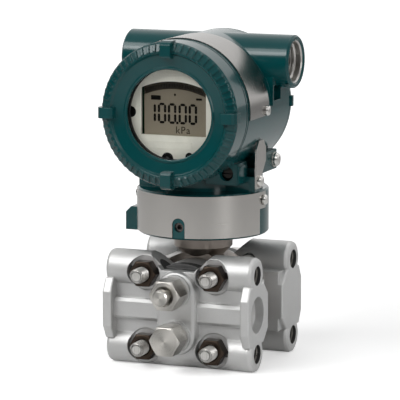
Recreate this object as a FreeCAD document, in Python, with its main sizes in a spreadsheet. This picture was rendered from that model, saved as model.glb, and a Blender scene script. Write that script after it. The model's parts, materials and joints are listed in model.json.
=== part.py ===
"""Differential pressure transmitter: capsule between two process covers, turning housing, screwed covers.

Millimetres. +X is to the right seen from the display, -Y is the display side, +Z is up.
The origin is on the neck's axis, at the height of the lowest point of the process covers.
"""
import FreeCAD, Part
import os
import re
import Sketcher

Vector = FreeCAD.Vector
Rotation = FreeCAD.Rotation

# Driving dimensions: alias, value in millimetres (degrees and counts where the name says so).
SIZES = {
    "port_spacing": 54,
    "port_radius": 9.6,
    "port_depth": 5,
    "port_throat_radius": 5.7,
    "port_throat_depth": 40,
    "flange_row_spacing": 41.3,
    "cover_length": 82,
    "cover_barrel_radius": 9.5,
    "cover_barrel_bevel": 2,
    "cover_back_depth": 16.2,
    "notch_half_width": 9,
    "notch_slope": 9,
    "notch_depth": 8.3,
    "web_step": 5.5,
    "web_row_inset": 4.65,
    "rib_projection": 3.5,
    "rib_half_height": 5.7,
    "end_plate_thickness": 5,
    "end_plate_flat": 18.3,
    "end_plate_projection": 13.3,
    "pad_half_width": 10.9,
    "pad_half_height": 22.1,
    "pad_edge_radius": 2,
    "pad_projection": 7,
    "plug_seat_radius": 8.6,
    "plug_offset": 12,
    "plug_flats": 15,
    "plug_collar_radius": 7.2,
    "plug_shank_radius": 6,
    "plug_shank_depth": 14,
    "plug_mouth_radius": 5.2,
    "plug_mouth_depth": 3,
    "plug_seat_rise": 1.9,
    "plug_collar_height": 1.8,
    "plug_hex_length": 11.8,
    "spotface_radius": 9.2,
    "spotface_sink": 0.5,
    "seat_boss_radius": 24.5,
    "chamber_radius": 16,
    "chamber_depth": 1.8,
    "gasket_inner_radius": 17,
    "gasket_width": 3.2,
    "gasket_thickness": 1.6,
    "process_hole_radius": 5.05,
    "process_hole_depth": 15,
    "passage_radius": 2,
    "stud_half_width": 19.2,
    "stud_half_height": 19.4,
    "stud_radius": 3.95,
    "stud_hole_clearance": 0.4,
    "stud_reach": 7.5,
    "nut_flats": 13,
    "nut_thickness": 6.5,
    "stem_bore_radius": 3.05,
    "stem_radius": 3,
    "stem_head_radius": 4.2,
    "stem_head_length": 4,
    "stem_reach": 6.1,
    "stem_length": 27.1,
    "capsule_radius": 28,
    "capsule_scallop": 5,
    "neck_radius": 15.5,
    "neck_bore_radius": 12,
    "neck_bore_depth": 18,
    "neck_engagement": 15.7,
    "neck_seal_depth": 4,
    "header_thickness": 5,
    "diaphragm_radius": 15.6,
    "diaphragm_thickness": 0.3,
    "diaphragm_recess": 0.9,
    "o_ring_section": 1.8,
    "o_ring_gap": 0.3,
    "turning_clearance": 0.08,
    "seat_gap": 0.3,
    "collar_radius": 34.6,
    "collar_wall": 4.2,
    "collar_floor": 6,
    "collar_arch_width": 7,
    "collar_gap": 8,
    "collar_height": 23.7,
    "collar_arch_rise": 4.9,
    "hub_wall": 4.6,
    "lock_screw_radius": 2.5,
    "lock_screw_rise": 6.5,
    "lug_reach": 7.4,
    "lug_front": 6.2,
    "lug_back": 4,
    "lug_drop": 1.3,
    "lug_height": 12.5,
    "lug_bevel": 3,
    "band_thickness": 0.5,
    "band_gap": 0.05,
    "band_start_angle": 11,
    "band_tab_angle": 2,
    "band_lower_edge": 1,
    "band_upper_edge": 0.7,
    "band_tab_height": 8.8,
    "drum_gap": 5.7,
    "housing_radius": 37.5,
    "housing_front": 31,
    "housing_back": 29.2,
    "housing_wall": 5.9,
    "partition_half": 2.5,
    "mouth_wall": 4.22,
    "front_thread_depth": 9,
    "rear_thread_depth": 9,
    "throat_radius": 22,
    "throat_passage_radius": 6,
    "throat_passage_offset": 9.5,
    "tag_band_back": 3,
    "tag_band_drop_angle": 5,
    "tag_screw_setback": 6.8,
    "tag_band_inset": 1,
    "tag_screw_drop": 0.6,
    "conduit_radius": 14,
    "conduit_half_length": 47,
    "conduit_offset": 13.5,
    "conduit_thread_radius": 10.5,
    "conduit_thread_depth": 15,
    "conduit_mouth_radius": 11.9,
    "conduit_bevel": 1,
    "conduit_throat_radius": 9.4,
    "conduit_rise": 23.1,
    "saddle_half_width": 12,
    "saddle_rise": 0.8,
    "saddle_overhang": 0.9,
    "pocket_depth": 3.4,
    "pocket_rise": 3.3,
    "pocket_setback": 10.7,
    "pocket_length": 10.2,
    "zero_block_inner": 10,
    "zero_block_front": 22,
    "zero_recess_radius": 3.8,
    "zero_recess_depth": 5.5,
    "zero_head_radius": 3,
    "zero_shank_radius": 1.6,
    "zero_head_length": 2.6,
    "zero_shank_length": 5,
    "zero_block_width": 17.6,
    "zero_block_rise": 4.5,
    "zero_screw_inset": 6.1,
    "zero_screw_rise": 5.9,
    "label_pad_thickness": 0.6,
    "floor_back": 6,
    "floor_step": 3.6,
    "floor_rise": 5,
    "guard_plate_thickness": 1,
    "guard_plate_front": 12.9,
    "guard_plate_width": 13.6,
    "guard_tab_width": 7.4,
    "guard_plate_foot": 1.8,
    "guard_plate_height": 24.9,
    "guard_tab_height": 6.2,
    "guard_screw_rise": 3.8,
    "ground_lug_front": 1,
    "ground_lug_back": 21.5,
    "ground_washer_radius": 4,
    "ground_washer_height": 0.8,
    "ground_lug_inset": 0.8,
    "ground_lug_rise": 8.3,
    "ground_lug_height": 10.4,
    "ground_screw_inset": 4.5,
    "pan_head_radius": 2.75,
    "pan_head_height": 1.9,
    "pan_shank_radius": 1.5,
    "pan_shank_length": 4,
    "skirt_overlap": 8.5,
    "skirt_wall": 4.6,
    "cover_rim_gap": 1,
    "seal_groove_setback": 1.4,
    "rim_bevel": 1,
    "display_rim_length": 15,
    "display_bevel_rise": 3.2,
    "display_bevel_width": 4.5,
    "display_face_rise": 2,
    "display_bead_rise": 0.6,
    "display_bead_width": 1.8,
    "display_lug_rise": 6,
    "window_opening_radius": 23.2,
    "window_thickness": 3,
    "window_gasket_height": 0.6,
    "window_sink": 0.8,
    "window_ledge": 3.2,
    "retainer_height": 1,
    "retainer_width": 3,
    "rib_width": 1.5,
    "rib_rise": 0.9,
    "rib_count": 60,
    "lug_count": 4,
    "terminal_lug_count": 2,
    "lug_width": 5.7,
    "lug_rise": 0.8,
    "lug_length": 9.3,
    "terminal_rim_gap": 0.3,
    "terminal_rim_height": 2.5,
    "terminal_cover_wall": 3,
    "terminal_cover_depth": 13,
    "terminal_crown_fall": 4.5,
    "terminal_lug_rise": 3,
    "bezel_thickness": 1.5,
    "bezel_skirt_wall": 1.2,
    "bezel_skirt_depth": 10,
    "bezel_screw_offset": 24,
    "bezel_screw_radius": 1.9,
    "bezel_gap": 0.7,
    "bezel_side_gap": 1.6,
    "bezel_lip": 1,
    "screen_half_width": 18,
    "screen_bottom": 11.5,
    "screen_shoulder": 12.8,
    "screen_top": 16.5,
    "screen_thickness": 1.1,
    "screen_margin": 1.3,
    "board_thickness": 1.6,
    "board_gap": 3,
    "board_side_gap": 0.4,
    "main_board_radius": 27,
    "main_board_front": 20,
    "shield_radius": 20,
    "shield_height": 9,
    "shield_wall": 0.8,
    "standoff_radius": 2.4,
    "standoff_inset": 3,
    "feedthrough_radius": 4,
    "feedthrough_height": 13,
    "feedthrough_length": 11,
    "cable_width": 8,
    "cable_thickness": 0.5,
    "terminal_count": 5,
    "terminal_pitch": 9,
    "terminal_rib_rise": 2.5,
    "terminal_rib_width": 1.2,
    "block_end": 0.6,
    "block_height": 17,
    "block_depth": 11,
    "block_drop": 2,
    "block_screw_drop": 13,
}

# Places and sizes that follow from the driving ones.
DERIVED = {
    "cover_offset": "port_spacing / 2",
    "half_cover": "cover_length / 2",
    "cover_top": "flange_row_spacing + 2 * cover_barrel_radius",
    "flange_height": "cover_top / 2",
    "notch_floor": "cover_top - notch_depth",
    "cover_inner_plane": "cover_offset - cover_back_depth",
    "web_front": "cover_offset + web_step",
    "web_half_height": "flange_row_spacing / 2 - web_row_inset",
    "rib_front": "web_front + rib_projection",
    "end_plate_front": "cover_offset + end_plate_projection",
    "end_plate_waist": "2 * web_half_height",
    "pad_front": "web_front + pad_projection",
    "plug_seat_front": "pad_front + plug_seat_rise",
    "spotface_front": "web_front - spotface_sink",
    "stud_end": "spotface_front + nut_thickness + stud_reach",
    "plug_hex_back": "plug_seat_front + plug_collar_height",
    "plug_front": "plug_hex_back + plug_hex_length",
    "stem_end": "plug_front + stem_reach",
    "stem_tip": "stem_end - stem_length",
    "vent_height": "flange_height + plug_offset",
    "drain_height": "flange_height - plug_offset",
    "neck_start": "cover_top - seat_gap",
    "collar_bottom": "cover_top + collar_gap",
    "collar_top": "collar_bottom + collar_height",
    "neck_top": "collar_bottom + neck_engagement",
    "neck_seal_height": "neck_top - neck_seal_depth",
    "lock_screw_height": "collar_bottom + lock_screw_rise",
    "collar_arch_top": "lock_screw_height + collar_arch_rise",
    "lug_outer": "collar_radius + lug_reach",
    "lug_bottom": "collar_bottom - lug_drop",
    "lug_top": "lug_bottom + lug_height",
    "band_bottom": "collar_bottom + band_lower_edge",
    "band_top": "collar_top - band_upper_edge",
    "band_tab_bottom": "band_top - band_tab_height",
    "band_screw_height": "band_top - band_tab_height / 2",
    "housing_height": "collar_top + drum_gap + housing_radius",
    "room_radius": "housing_radius - housing_wall",
    "mouth_radius": "housing_radius - mouth_wall",
    "tag_band_front": "housing_front - tag_band_inset",
    "tag_screw_place": "housing_height - tag_screw_drop",
    "conduit_height": "housing_height + conduit_rise",
    "saddle_bottom": "housing_height + saddle_rise",
    "saddle_half_length": "housing_radius + saddle_overhang",
    "pocket_bottom": "housing_height + pocket_rise",
    "pocket_front": "conduit_offset - pocket_setback",
    "pocket_back": "pocket_front + pocket_length",
    "zero_block_outer": "zero_block_inner + zero_block_width",
    "zero_block_bottom": "collar_top + zero_block_rise",
    "zero_screw_across": "zero_block_outer - zero_screw_inset",
    "zero_screw_height": "zero_block_bottom + zero_screw_rise",
    "floor_outer": "zero_block_outer + floor_step",
    "floor_top": "collar_top + floor_rise",
    "guard_plate_bottom": "collar_top + guard_plate_foot",
    "guard_plate_top": "guard_plate_bottom + guard_plate_height",
    "guard_plate_side": "sqrt(housing_radius ^ 2 - (housing_height - guard_plate_top) ^ 2) + seat_gap",
    "guard_tab_top": "guard_plate_bottom + guard_tab_height",
    "guard_screw_height": "guard_plate_bottom + guard_screw_rise",
    "ground_lug_side": "guard_plate_side - ground_lug_inset",
    "ground_lug_bottom": "collar_top + ground_lug_rise",
    "ground_lug_top": "ground_lug_bottom + ground_lug_height",
    "ground_screw_setback": "ground_lug_back - ground_screw_inset",
    "ground_screw_height": "ground_lug_bottom + ground_lug_height / 2",
    "skirt_radius": "mouth_radius - turning_clearance",
    "skirt_inner_radius": "skirt_radius - skirt_wall",
    "cover_rim_radius": "housing_radius",
    "cover_lug_radius": "cover_rim_radius + lug_rise",
    "cover_lug_inner": "cover_lug_radius - lug_length",
    "display_rim_start": "housing_front + cover_rim_gap",
    "display_rim_front": "display_rim_start + display_rim_length",
    "display_shoulder": "display_rim_front + rim_bevel",
    "display_bevel_front": "display_rim_front + display_bevel_rise",
    "display_bevel_radius": "cover_rim_radius - display_bevel_width",
    "display_face_radius": "display_bevel_radius - 2 * rim_bevel",
    "display_face_front": "display_rim_front + display_face_rise",
    "display_bead_front": "display_rim_front + display_bead_rise",
    "display_bead_radius": "window_opening_radius + display_bead_width",
    "display_lug_front": "display_rim_front + display_lug_rise",
    "window_front": "display_bead_front - window_sink",
    "window_back": "window_front - window_thickness",
    "window_gasket_back": "window_back - window_gasket_height",
    "retainer_back": "window_gasket_back - retainer_height",
    "window_radius": "window_opening_radius + window_ledge",
    "terminal_rim_start": "housing_back + terminal_rim_gap",
    "terminal_shoulder": "terminal_rim_start + terminal_rim_height",
    "terminal_cover_front": "terminal_rim_start + terminal_cover_depth",
    "terminal_crown_radius": "cover_rim_radius - terminal_crown_fall",
    "terminal_lug_front": "terminal_shoulder + terminal_lug_rise",
    "bezel_front": "retainer_back - bezel_gap",
    "bezel_back": "bezel_front - bezel_thickness",
    "bezel_radius": "skirt_inner_radius - bezel_side_gap",
    "bezel_skirt_radius": "bezel_radius - bezel_lip",
    "bezel_skirt_inside": "bezel_skirt_radius - bezel_skirt_wall",
    "indicator_board_radius": "bezel_skirt_inside - board_side_gap",
    "standoff_offset": "main_board_radius - standoff_inset",
    "block_half_width": "terminal_pitch * terminal_count / 2 + block_end",
    "terminal_top": "housing_height - block_drop",
    "seal_groove_half": "o_ring_section / 2 + o_ring_gap",
    "neck_groove_radius": "neck_radius - o_ring_section - o_ring_gap",
    "skirt_groove_radius": "skirt_radius - o_ring_section - o_ring_gap",
}


class Sheet:
    """The spreadsheet of driving dimensions, and expressions written in its aliases."""

    def __init__(self, doc):
        self.sheet = doc.addObject("Spreadsheet::Sheet", "Sizes")
        self.aliases = []
        for row, (alias, number) in enumerate(SIZES.items(), start=1):
            self.aliases.append(alias)
            self.sheet.set(f"A{row}", alias)
            self.sheet.set(f"B{row}", str(number))
            self.sheet.setAlias(f"B{row}", alias)
        doc.recompute()

    def full(self, text):
        """The expression written out in driving sizes, each with its sheet's name."""

        def spell(word):
            if word.group(0) in DERIVED:
                return "(" + self.full(DERIVED[word.group(0)]) + ")"
            if word.group(0) in self.aliases:
                return "Sizes." + word.group(0)
            return word.group(0)

        return re.sub(r"[a-z][a-z_0-9]*", spell, str(text))

    def value(self, text):
        """The expression's number now."""
        return float(self.sheet.evalExpression(self.full(text)))

    def bind(self, thing, prop, text):
        """Ties a property to an expression."""
        thing.setExpression(prop, self.full(text))


doc = FreeCAD.newDocument("DifferentialPressureTransmitter")
sizes = Sheet(doc)
nodes = {}

# Each axis keeps the object's own Y upwards, so an outline is drawn as it stands.
TURNS = {
    "x": Rotation(Vector(0, 1, 0), Vector(0, 0, 1), Vector(1, 0, 0), "XYZ"),
    "-x": Rotation(Vector(0, -1, 0), Vector(0, 0, 1), Vector(-1, 0, 0), "XYZ"),
    "y": Rotation(Vector(-1, 0, 0), Vector(0, 0, 1), Vector(0, 1, 0), "XYZ"),
    "-y": Rotation(Vector(1, 0, 0), Vector(0, 0, 1), Vector(0, -1, 0), "XYZ"),
    "z": Rotation(),
    "-z": Rotation(Vector(1, 0, 0), 180),
}


def place(thing, at, axis="z", spin=0):
    """Puts an object's own origin at three expressions, with its own Z along the axis."""
    turn = TURNS[axis].multiply(Rotation(Vector(0, 0, 1), spin))
    thing.Placement = FreeCAD.Placement(Vector(*[sizes.value(text) for text in at]), turn)
    for letter, text in zip("xyz", at):
        sizes.bind(thing, "Placement.Base." + letter, text)
    return thing


def primitive(kind, name, at, axis="z", spin=0, **bound):
    """A Part primitive with its sizes tied to expressions."""
    thing = doc.addObject("Part::" + kind, name)
    for prop, text in bound.items():
        sizes.bind(thing, prop, text)
    return place(thing, at, axis, spin)


def cylinder(name, at, axis, radius, length):
    return primitive("Cylinder", name, at, axis, Radius=radius, Height=length)


def block(name, low, high):
    """A box between two corners."""
    spans = [f"({top}) - ({bottom})" for bottom, top in zip(low, high)]
    return primitive("Box", name, low, Length=spans[0], Width=spans[1], Height=spans[2])


def hexagon(name, at, axis, flats, length, spin=0):
    thing = primitive("Prism", name, at, axis, spin, Circumradius=f"({flats}) / 2 / cos(30)", Height=length)
    thing.Polygon = 6
    return thing


def fused(name, pieces):
    thing = doc.addObject("Part::MultiFuse", name)
    thing.Shapes = pieces
    return thing


def cut(name, base, tools):
    """The base less the tools."""
    thing = doc.addObject("Part::Cut", name)
    thing.Base = base
    thing.Tool = tools[0] if len(tools) == 1 else fused(name + "_tools", tools)
    return thing


def common(name, pieces):
    thing = doc.addObject("Part::MultiCommon", name)
    thing.Shapes = pieces
    return thing


def group(name, pieces):
    """Separate solids that share one node."""
    thing = doc.addObject("Part::Compound", name)
    thing.Links = pieces
    return thing


def node(thing, name):
    """Makes an object a sub-part: its label names its file."""
    thing.Label = name
    nodes[name] = thing
    return thing


def outline_sketch(body, name, role, points):
    """A closed outline on one of the body's origin planes, each corner tied to two expressions."""
    sketch = body.newObject("Sketcher::SketchObject", name)
    plane = [feature for feature in body.Origin.OriginFeatures if feature.Role == role][0]
    sketch.AttachmentSupport = [(plane, "")]
    sketch.MapMode = "FlatFace"
    corners = [Vector(sizes.value(across), sizes.value(up), 0) for across, up in points]
    last = len(points)
    for index, corner in enumerate(corners):
        sketch.addGeometry(Part.LineSegment(corner, corners[(index + 1) % last]), False)
    for index in range(last):
        sketch.addConstraint(Sketcher.Constraint("Coincident", index, 2, (index + 1) % last, 1))
    for index, (across, up) in enumerate(points):
        for kind, text in (("DistanceX", across), ("DistanceY", up)):
            number = sketch.addConstraint(Sketcher.Constraint(kind, -1, 1, index, 1, sizes.value(text)))
            sketch.setExpression(f"Constraints[{number}]", sizes.full(text))
    return sketch


def turned(name, at, axis, points):
    """A body turned from an outline of radii and distances along its axis."""
    body = doc.addObject("PartDesign::Body", name)
    sketch = outline_sketch(body, name + "_outline", "XZ_Plane", points)
    solid = body.newObject("PartDesign::Revolution", name + "_turned")
    solid.Profile = sketch
    solid.ReferenceAxis = (sketch, ["V_Axis"])
    solid.Angle = 360
    return place(body, at, axis)


def extruded(name, at, axis, points, length, spin=0):
    """A body padded along its axis from an outline of straight sides."""
    body = doc.addObject("PartDesign::Body", name)
    pad = body.newObject("PartDesign::Pad", name + "_pad")
    pad.Profile = outline_sketch(body, name + "_outline", "XY_Plane", points)
    sizes.bind(pad, "Length", length)
    body.Tip = pad
    return place(body, at, axis, spin)


def fillet(body, radius, chosen):
    """Rounds the edges of the body's last feature that the test picks, in the body's own frame."""
    base = body.Tip
    body.recompute(True)
    names = [f"Edge{number + 1}" for number, edge in enumerate(base.Shape.Edges) if chosen(edge)]
    rounding = body.newObject("PartDesign::Fillet", body.Name + "_fillet" + str(len(body.Group)))
    rounding.Base = (base, names)
    sizes.bind(rounding, "Radius", radius)
    body.Tip = rounding


def ribbed(body, name, points, width, count):
    """Adds a radial rib of the given outline to a turned body and repeats it round the axis."""
    rib = body.newObject("PartDesign::Pad", name)
    rib.Profile = outline_sketch(body, name + "_outline", "XZ_Plane", points)
    rib.SideType = "Symmetric"
    sizes.bind(rib, "Length", width)
    pattern = body.newObject("PartDesign::PolarPattern", name + "_pattern")
    pattern.Originals = [rib]
    pattern.Axis = ([feature for feature in body.Origin.OriginFeatures if feature.Role == "Z_Axis"][0], [""])
    pattern.Angle = 360
    sizes.bind(pattern, "Occurrences", count)
    body.Tip = pattern


# ---------------------------------------------------------------- process covers

PLUG_HEIGHTS = {"vent": "vent_height", "drain": "drain_height"}
STUD_PLACES = [
    (f"{across} stud_half_width", f"flange_height {up} stud_half_height")
    for across in ("-", "+") for up in ("-", "+")
]


def cover_outside():
    """The casting's own mass: two barrels, the web, its rib, the end plates and the plug pad."""
    barrels = []
    for index, sign in enumerate("-+"):
        row = f"flange_height {sign} flange_row_spacing / 2"
        barrels.append(turned(f"cover_barrel{index}", ("0", "-cover_offset", row), "x", [
            ("0", "-half_cover"),
            ("cover_barrel_radius - cover_barrel_bevel", "-half_cover"),
            ("cover_barrel_radius - cover_barrel_bevel * 0.3", "-half_cover + cover_barrel_bevel * 0.3"),
            ("cover_barrel_radius", "-half_cover + cover_barrel_bevel"),
            ("cover_barrel_radius", "half_cover - cover_barrel_bevel"),
            ("cover_barrel_radius - cover_barrel_bevel * 0.3", "half_cover - cover_barrel_bevel * 0.3"),
            ("cover_barrel_radius - cover_barrel_bevel", "half_cover"),
            ("0", "half_cover"),
        ]))
    neck_notch = extruded("neck_notch", ("0", "-2 * cover_offset", "0"), "y", [
        ("-notch_half_width - notch_slope", "cover_top + 0.5"),
        ("-notch_half_width", "notch_floor"),
        ("notch_half_width", "notch_floor"),
        ("notch_half_width + notch_slope", "cover_top + 0.5"),
    ], "2 * cover_offset")
    pieces = [barrels[0], cut("notched_barrel", barrels[1], [neck_notch])]
    web_end = "(half_cover - end_plate_thickness / 2)"
    pieces.append(block(
        "cover_web",
        (f"-{web_end}", "-web_front", "flange_height - web_half_height"),
        (web_end, "-cover_inner_plane", "flange_height + web_half_height"),
    ))
    rib = extruded("cover_rib", (f"-{web_end}", "-web_front", "flange_height"), "x", [
        ("2", "-rib_half_height"),
        ("(web_front - rib_front) * 0.6", "-rib_half_height"),
        ("web_front - rib_front", "-rib_half_height * 0.7"),
        ("web_front - rib_front", "rib_half_height * 0.7"),
        ("(web_front - rib_front) * 0.6", "rib_half_height"),
        ("2", "rib_half_height"),
    ], f"2 * {web_end}")
    pieces.append(rib)
    waist_front = "-(cover_offset + cover_barrel_radius)"
    waist_back = "-(cover_offset - cover_barrel_radius)"
    plate_outline = [
        (waist_front, "-end_plate_waist / 2"),
        (waist_back, "-end_plate_waist / 2"),
        ("-cover_inner_plane", "-end_plate_flat / 2"),
        ("-cover_inner_plane", "end_plate_flat / 2"),
        (waist_back, "end_plate_waist / 2"),
        (waist_front, "end_plate_waist / 2"),
        ("-end_plate_front", "end_plate_flat / 2"),
        ("-end_plate_front", "-end_plate_flat / 2"),
    ]
    for side, start in (("left", "-half_cover"), ("right", "half_cover - end_plate_thickness")):
        plate = extruded(f"cover_plate_{side}", (start, "0", "flange_height"), "x", plate_outline,
                         "end_plate_thickness")
        fillet(plate, "end_plate_thickness / 5",
               lambda edge: abs(edge.tangentAt(edge.FirstParameter).z) < 0.1)
        pieces.append(plate)
    pad_reach = "(pad_half_height - pad_half_width)"
    pad_rise = "(pad_front - cover_inner_plane - 2)"
    for index, sign in enumerate("-+"):
        at = ("0", "-cover_inner_plane - 2", f"flange_height {sign} {pad_reach}")
        pieces.append(turned(f"cover_pad_end{index}", at, "-y", [
            ("0", "0"),
            ("pad_half_width", "0"),
            ("pad_half_width", f"{pad_rise} - pad_edge_radius"),
            ("pad_half_width - pad_edge_radius * 0.3", f"{pad_rise} - pad_edge_radius * 0.3"),
            ("pad_half_width - pad_edge_radius", pad_rise),
            ("0", pad_rise),
        ]))
        pieces.append(cylinder(
            f"plug_seat{index}", ("0", "-web_front", f"flange_height {sign} plug_offset"), "-y",
            "plug_seat_radius", "plug_seat_front - web_front"))
    pieces.append(extruded(
        "cover_pad_middle", ("0", "0", f"flange_height - {pad_reach}"), "z", [
            ("-pad_half_width", "-cover_inner_plane - 2"),
            ("-pad_half_width", "-pad_front + pad_edge_radius"),
            ("-pad_half_width + pad_edge_radius * 0.3", "-pad_front + pad_edge_radius * 0.3"),
            ("-pad_half_width + pad_edge_radius", "-pad_front"),
            ("pad_half_width - pad_edge_radius", "-pad_front"),
            ("pad_half_width - pad_edge_radius * 0.3", "-pad_front + pad_edge_radius * 0.3"),
            ("pad_half_width", "-pad_front + pad_edge_radius"),
            ("pad_half_width", "-cover_inner_plane - 2"),
        ], f"2 * {pad_reach}"))
    pieces.append(cylinder("cover_seat_boss", ("0", "-cover_inner_plane", "flange_height"), "-y",
                           "seat_boss_radius", "web_front - cover_inner_plane - 4"))
    return fused("cover_outside", pieces)


def cover_holes():
    """Everything bored or machined into a process cover."""
    tools = []
    for index, (across, up) in enumerate(STUD_PLACES):
        tools.append(cylinder(f"spotface{index}", (across, "-spotface_front", up), "-y",
                              "spotface_radius", "end_plate_front"))
        tools.append(cylinder(f"stud_hole{index}", (across, "0", up), "-y",
                              "stud_radius + stud_hole_clearance", "end_plate_front"))
    for sign, axis in (("-", "x"), ("", "-x")):
        for row in "-+":
            tools.append(turned(
                f"process_hole{axis}{row}".replace("-", "m").replace("+", "p"),
                (f"{sign}half_cover", "-cover_offset", f"flange_height {row} flange_row_spacing / 2"),
                axis, [
                    ("0", "-1"),
                    ("process_hole_radius", "-1"),
                    ("process_hole_radius", "process_hole_depth"),
                    ("0", "process_hole_depth + process_hole_radius * 0.6"),
                ]))
    tools.append(turned("port_bore", ("half_cover", "-cover_offset", "flange_height"), "-x", [
        ("0", "-1"),
        ("port_radius", "-1"),
        ("port_radius", "port_depth"),
        ("port_throat_radius", "port_depth + 1.5"),
        ("port_throat_radius", "port_throat_depth"),
        ("0", "port_throat_depth + 2"),
    ]))
    tools.append(cylinder("chamber_passage", ("stud_radius", "0", "flange_height"), "-y",
                          "passage_radius", "cover_offset"))
    tools.append(cylinder("chamber", ("0", "0", "flange_height"), "-y",
                          "chamber_radius", "cover_inner_plane + chamber_depth"))
    tools.append(turned("gasket_groove", ("0", "0", "flange_height"), "-y", [
        ("gasket_inner_radius", "0"),
        ("gasket_inner_radius + gasket_width", "0"),
        ("gasket_inner_radius + gasket_width", "cover_inner_plane + gasket_thickness"),
        ("gasket_inner_radius", "cover_inner_plane + gasket_thickness"),
    ]))
    for use, height in PLUG_HEIGHTS.items():
        tools.append(cylinder(f"{use}_hole", ("0", "-plug_seat_front + plug_shank_depth", height), "-y",
                              "plug_shank_radius + 0.05", "plug_shank_depth + 1"))
        tools.append(cylinder(f"{use}_passage", ("0", "0", height), "-y",
                              "passage_radius", "plug_seat_front - 3"))
    return tools


def plug_solid(side, use):
    """A hexagon plug with a collar and a shank, opened for a stem where it is a vent."""
    front = "-y" if side == "front" else "y"
    height = PLUG_HEIGHTS[use]
    at = ("0", "0", height)
    flats = hexagon(f"{side}_{use}_hexagon", at, front, "plug_flats", "plug_front")
    corner = "plug_flats / 2 / cos(30)"
    trimmed = common(f"{side}_{use}_head", [flats, turned(f"{side}_{use}_head_turned", at, front, [
        ("0", "plug_hex_back"),
        (f"{corner} - 0.8", "plug_hex_back"),
        (corner, "plug_hex_back + 0.6"),
        (corner, "plug_front - 1"),
        (f"{corner} - 1.4", "plug_front"),
        ("0", "plug_front"),
    ])])
    shank = turned(f"{side}_{use}_shank", at, front, [
        ("0", "plug_seat_front - plug_shank_depth + 0.5"),
        ("plug_shank_radius - 0.8", "plug_seat_front - plug_shank_depth + 0.5"),
        ("plug_shank_radius", "plug_seat_front - plug_shank_depth + 1.3"),
        ("plug_shank_radius", "plug_seat_front"),
        ("plug_collar_radius", "plug_seat_front"),
        ("plug_collar_radius", "plug_hex_back + 1"),
        ("0", "plug_hex_back + 1"),
    ])
    solid = fused(f"{side}_{use}_solid", [trimmed, shank])
    if use == "drain":
        return solid
    bore = turned(f"{side}_{use}_bore", at, front, [
        ("0", "plug_seat_front - plug_shank_depth - 1"),
        ("passage_radius - 0.5", "plug_seat_front - plug_shank_depth - 1"),
        ("passage_radius - 0.5", "stem_tip - stem_radius"),
        ("stem_bore_radius", "stem_tip - 1"),
        ("stem_bore_radius", "plug_front - plug_mouth_depth"),
        ("plug_mouth_radius", "plug_front - plug_mouth_depth + 1.4"),
        ("plug_mouth_radius", "plug_front + 1"),
        ("0", "plug_front + 1"),
    ])
    return cut(f"{side}_{use}_bored", solid, [bore])


def vent_stem(side):
    """The vent's turning stem: a round head on a shank that seats in the plug."""
    front = "-y" if side == "front" else "y"
    return turned(f"{side}_stem", ("0", "0", PLUG_HEIGHTS["vent"]), front, [
        ("0", "stem_tip"),
        ("stem_radius * 0.4", "stem_tip"),
        ("stem_radius", "stem_tip + stem_radius * 0.6"),
        ("stem_radius", "stem_end - stem_head_length"),
        ("stem_head_radius", "stem_end - stem_head_length"),
        ("stem_head_radius", "stem_end - 0.8"),
        ("stem_head_radius - 0.8", "stem_end"),
        ("0", "stem_end"),
    ])


def process_end():
    """Both covers with their plugs, stems, gaskets, studs and nuts."""
    casting = cut("cover_casting", cover_outside(), cover_holes())
    node(casting, "front_process_cover")
    turned_round = group("cover_turned_round", [casting])
    turned_round.Placement = FreeCAD.Placement(Vector(), Rotation(Vector(0, 0, 1), 180))
    node(turned_round, "rear_process_cover")
    for side in ("front", "rear"):
        facing = "-y" if side == "front" else "y"
        node(plug_solid(side, "vent"), f"{side}_vent_plug")
        node(plug_solid(side, "drain"), f"{side}_drain_plug")
        node(vent_stem(side), f"{side}_vent_stem")
        node(turned(f"{side}_gasket_ring", ("0", "0", "flange_height"), facing, [
            ("gasket_inner_radius + 0.2", "cover_inner_plane"),
            ("gasket_inner_radius + gasket_width - 0.2", "cover_inner_plane"),
            ("gasket_inner_radius + gasket_width - 0.2", "cover_inner_plane + gasket_thickness"),
            ("gasket_inner_radius + 0.2", "cover_inner_plane + gasket_thickness"),
        ]), f"{side}_cover_gasket")
    studs = []
    for index, (across, up) in enumerate(STUD_PLACES):
        studs.append(turned(f"stud{index}", (across, "0", up), "y", [
            ("0", "-stud_end"),
            ("stud_radius * 0.55", "-stud_end"),
            ("stud_radius", "-stud_end + stud_radius * 0.3"),
            ("stud_radius", "stud_end - stud_radius * 0.3"),
            ("stud_radius * 0.55", "stud_end"),
            ("0", "stud_end"),
        ]))
    node(group("studs", studs), "cover_studs")
    corner = "nut_flats / 2 / cos(30)"
    for side, axis in (("front", "-y"), ("rear", "y")):
        nuts = []
        for index, (across, up) in enumerate(STUD_PLACES):
            at = (across, "0", up)
            prism = hexagon(f"{side}_nut_prism{index}", at, axis, "nut_flats",
                            "spotface_front + nut_thickness")
            rounded = turned(f"{side}_nut_turned{index}", at, axis, [
                ("stud_radius", "spotface_front"),
                (f"{corner} - 0.5", "spotface_front"),
                (corner, "spotface_front + 0.4"),
                (corner, "spotface_front + nut_thickness - 0.9"),
                (f"{corner} - 1.3", "spotface_front + nut_thickness"),
                ("stud_radius + 0.7", "spotface_front + nut_thickness"),
                ("stud_radius", "spotface_front + nut_thickness - 0.7"),
            ])
            nuts.append(common(f"{side}_nut{index}", [prism, rounded]))
        node(group(f"{side}_nuts", nuts), f"{side}_cover_nuts")


# ---------------------------------------------------------------- measuring capsule

def torus_ring(name, at, axis, middle_radius, section_radius, height):
    """An O-ring whose middle lies at a height along the axis."""
    ring = doc.addObject("Part::Torus", name)
    sizes.bind(ring, "Radius1", middle_radius)
    sizes.bind(ring, "Radius2", section_radius)
    index = "xyz".index(axis[-1])
    centre = list(at)
    sign = "-" if axis[0] == "-" else ""
    centre[index] = f"{centre[index]} + {sign}({height})" if sign == "" else f"{centre[index]} - ({height})"
    return place(ring, centre, axis)


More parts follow.
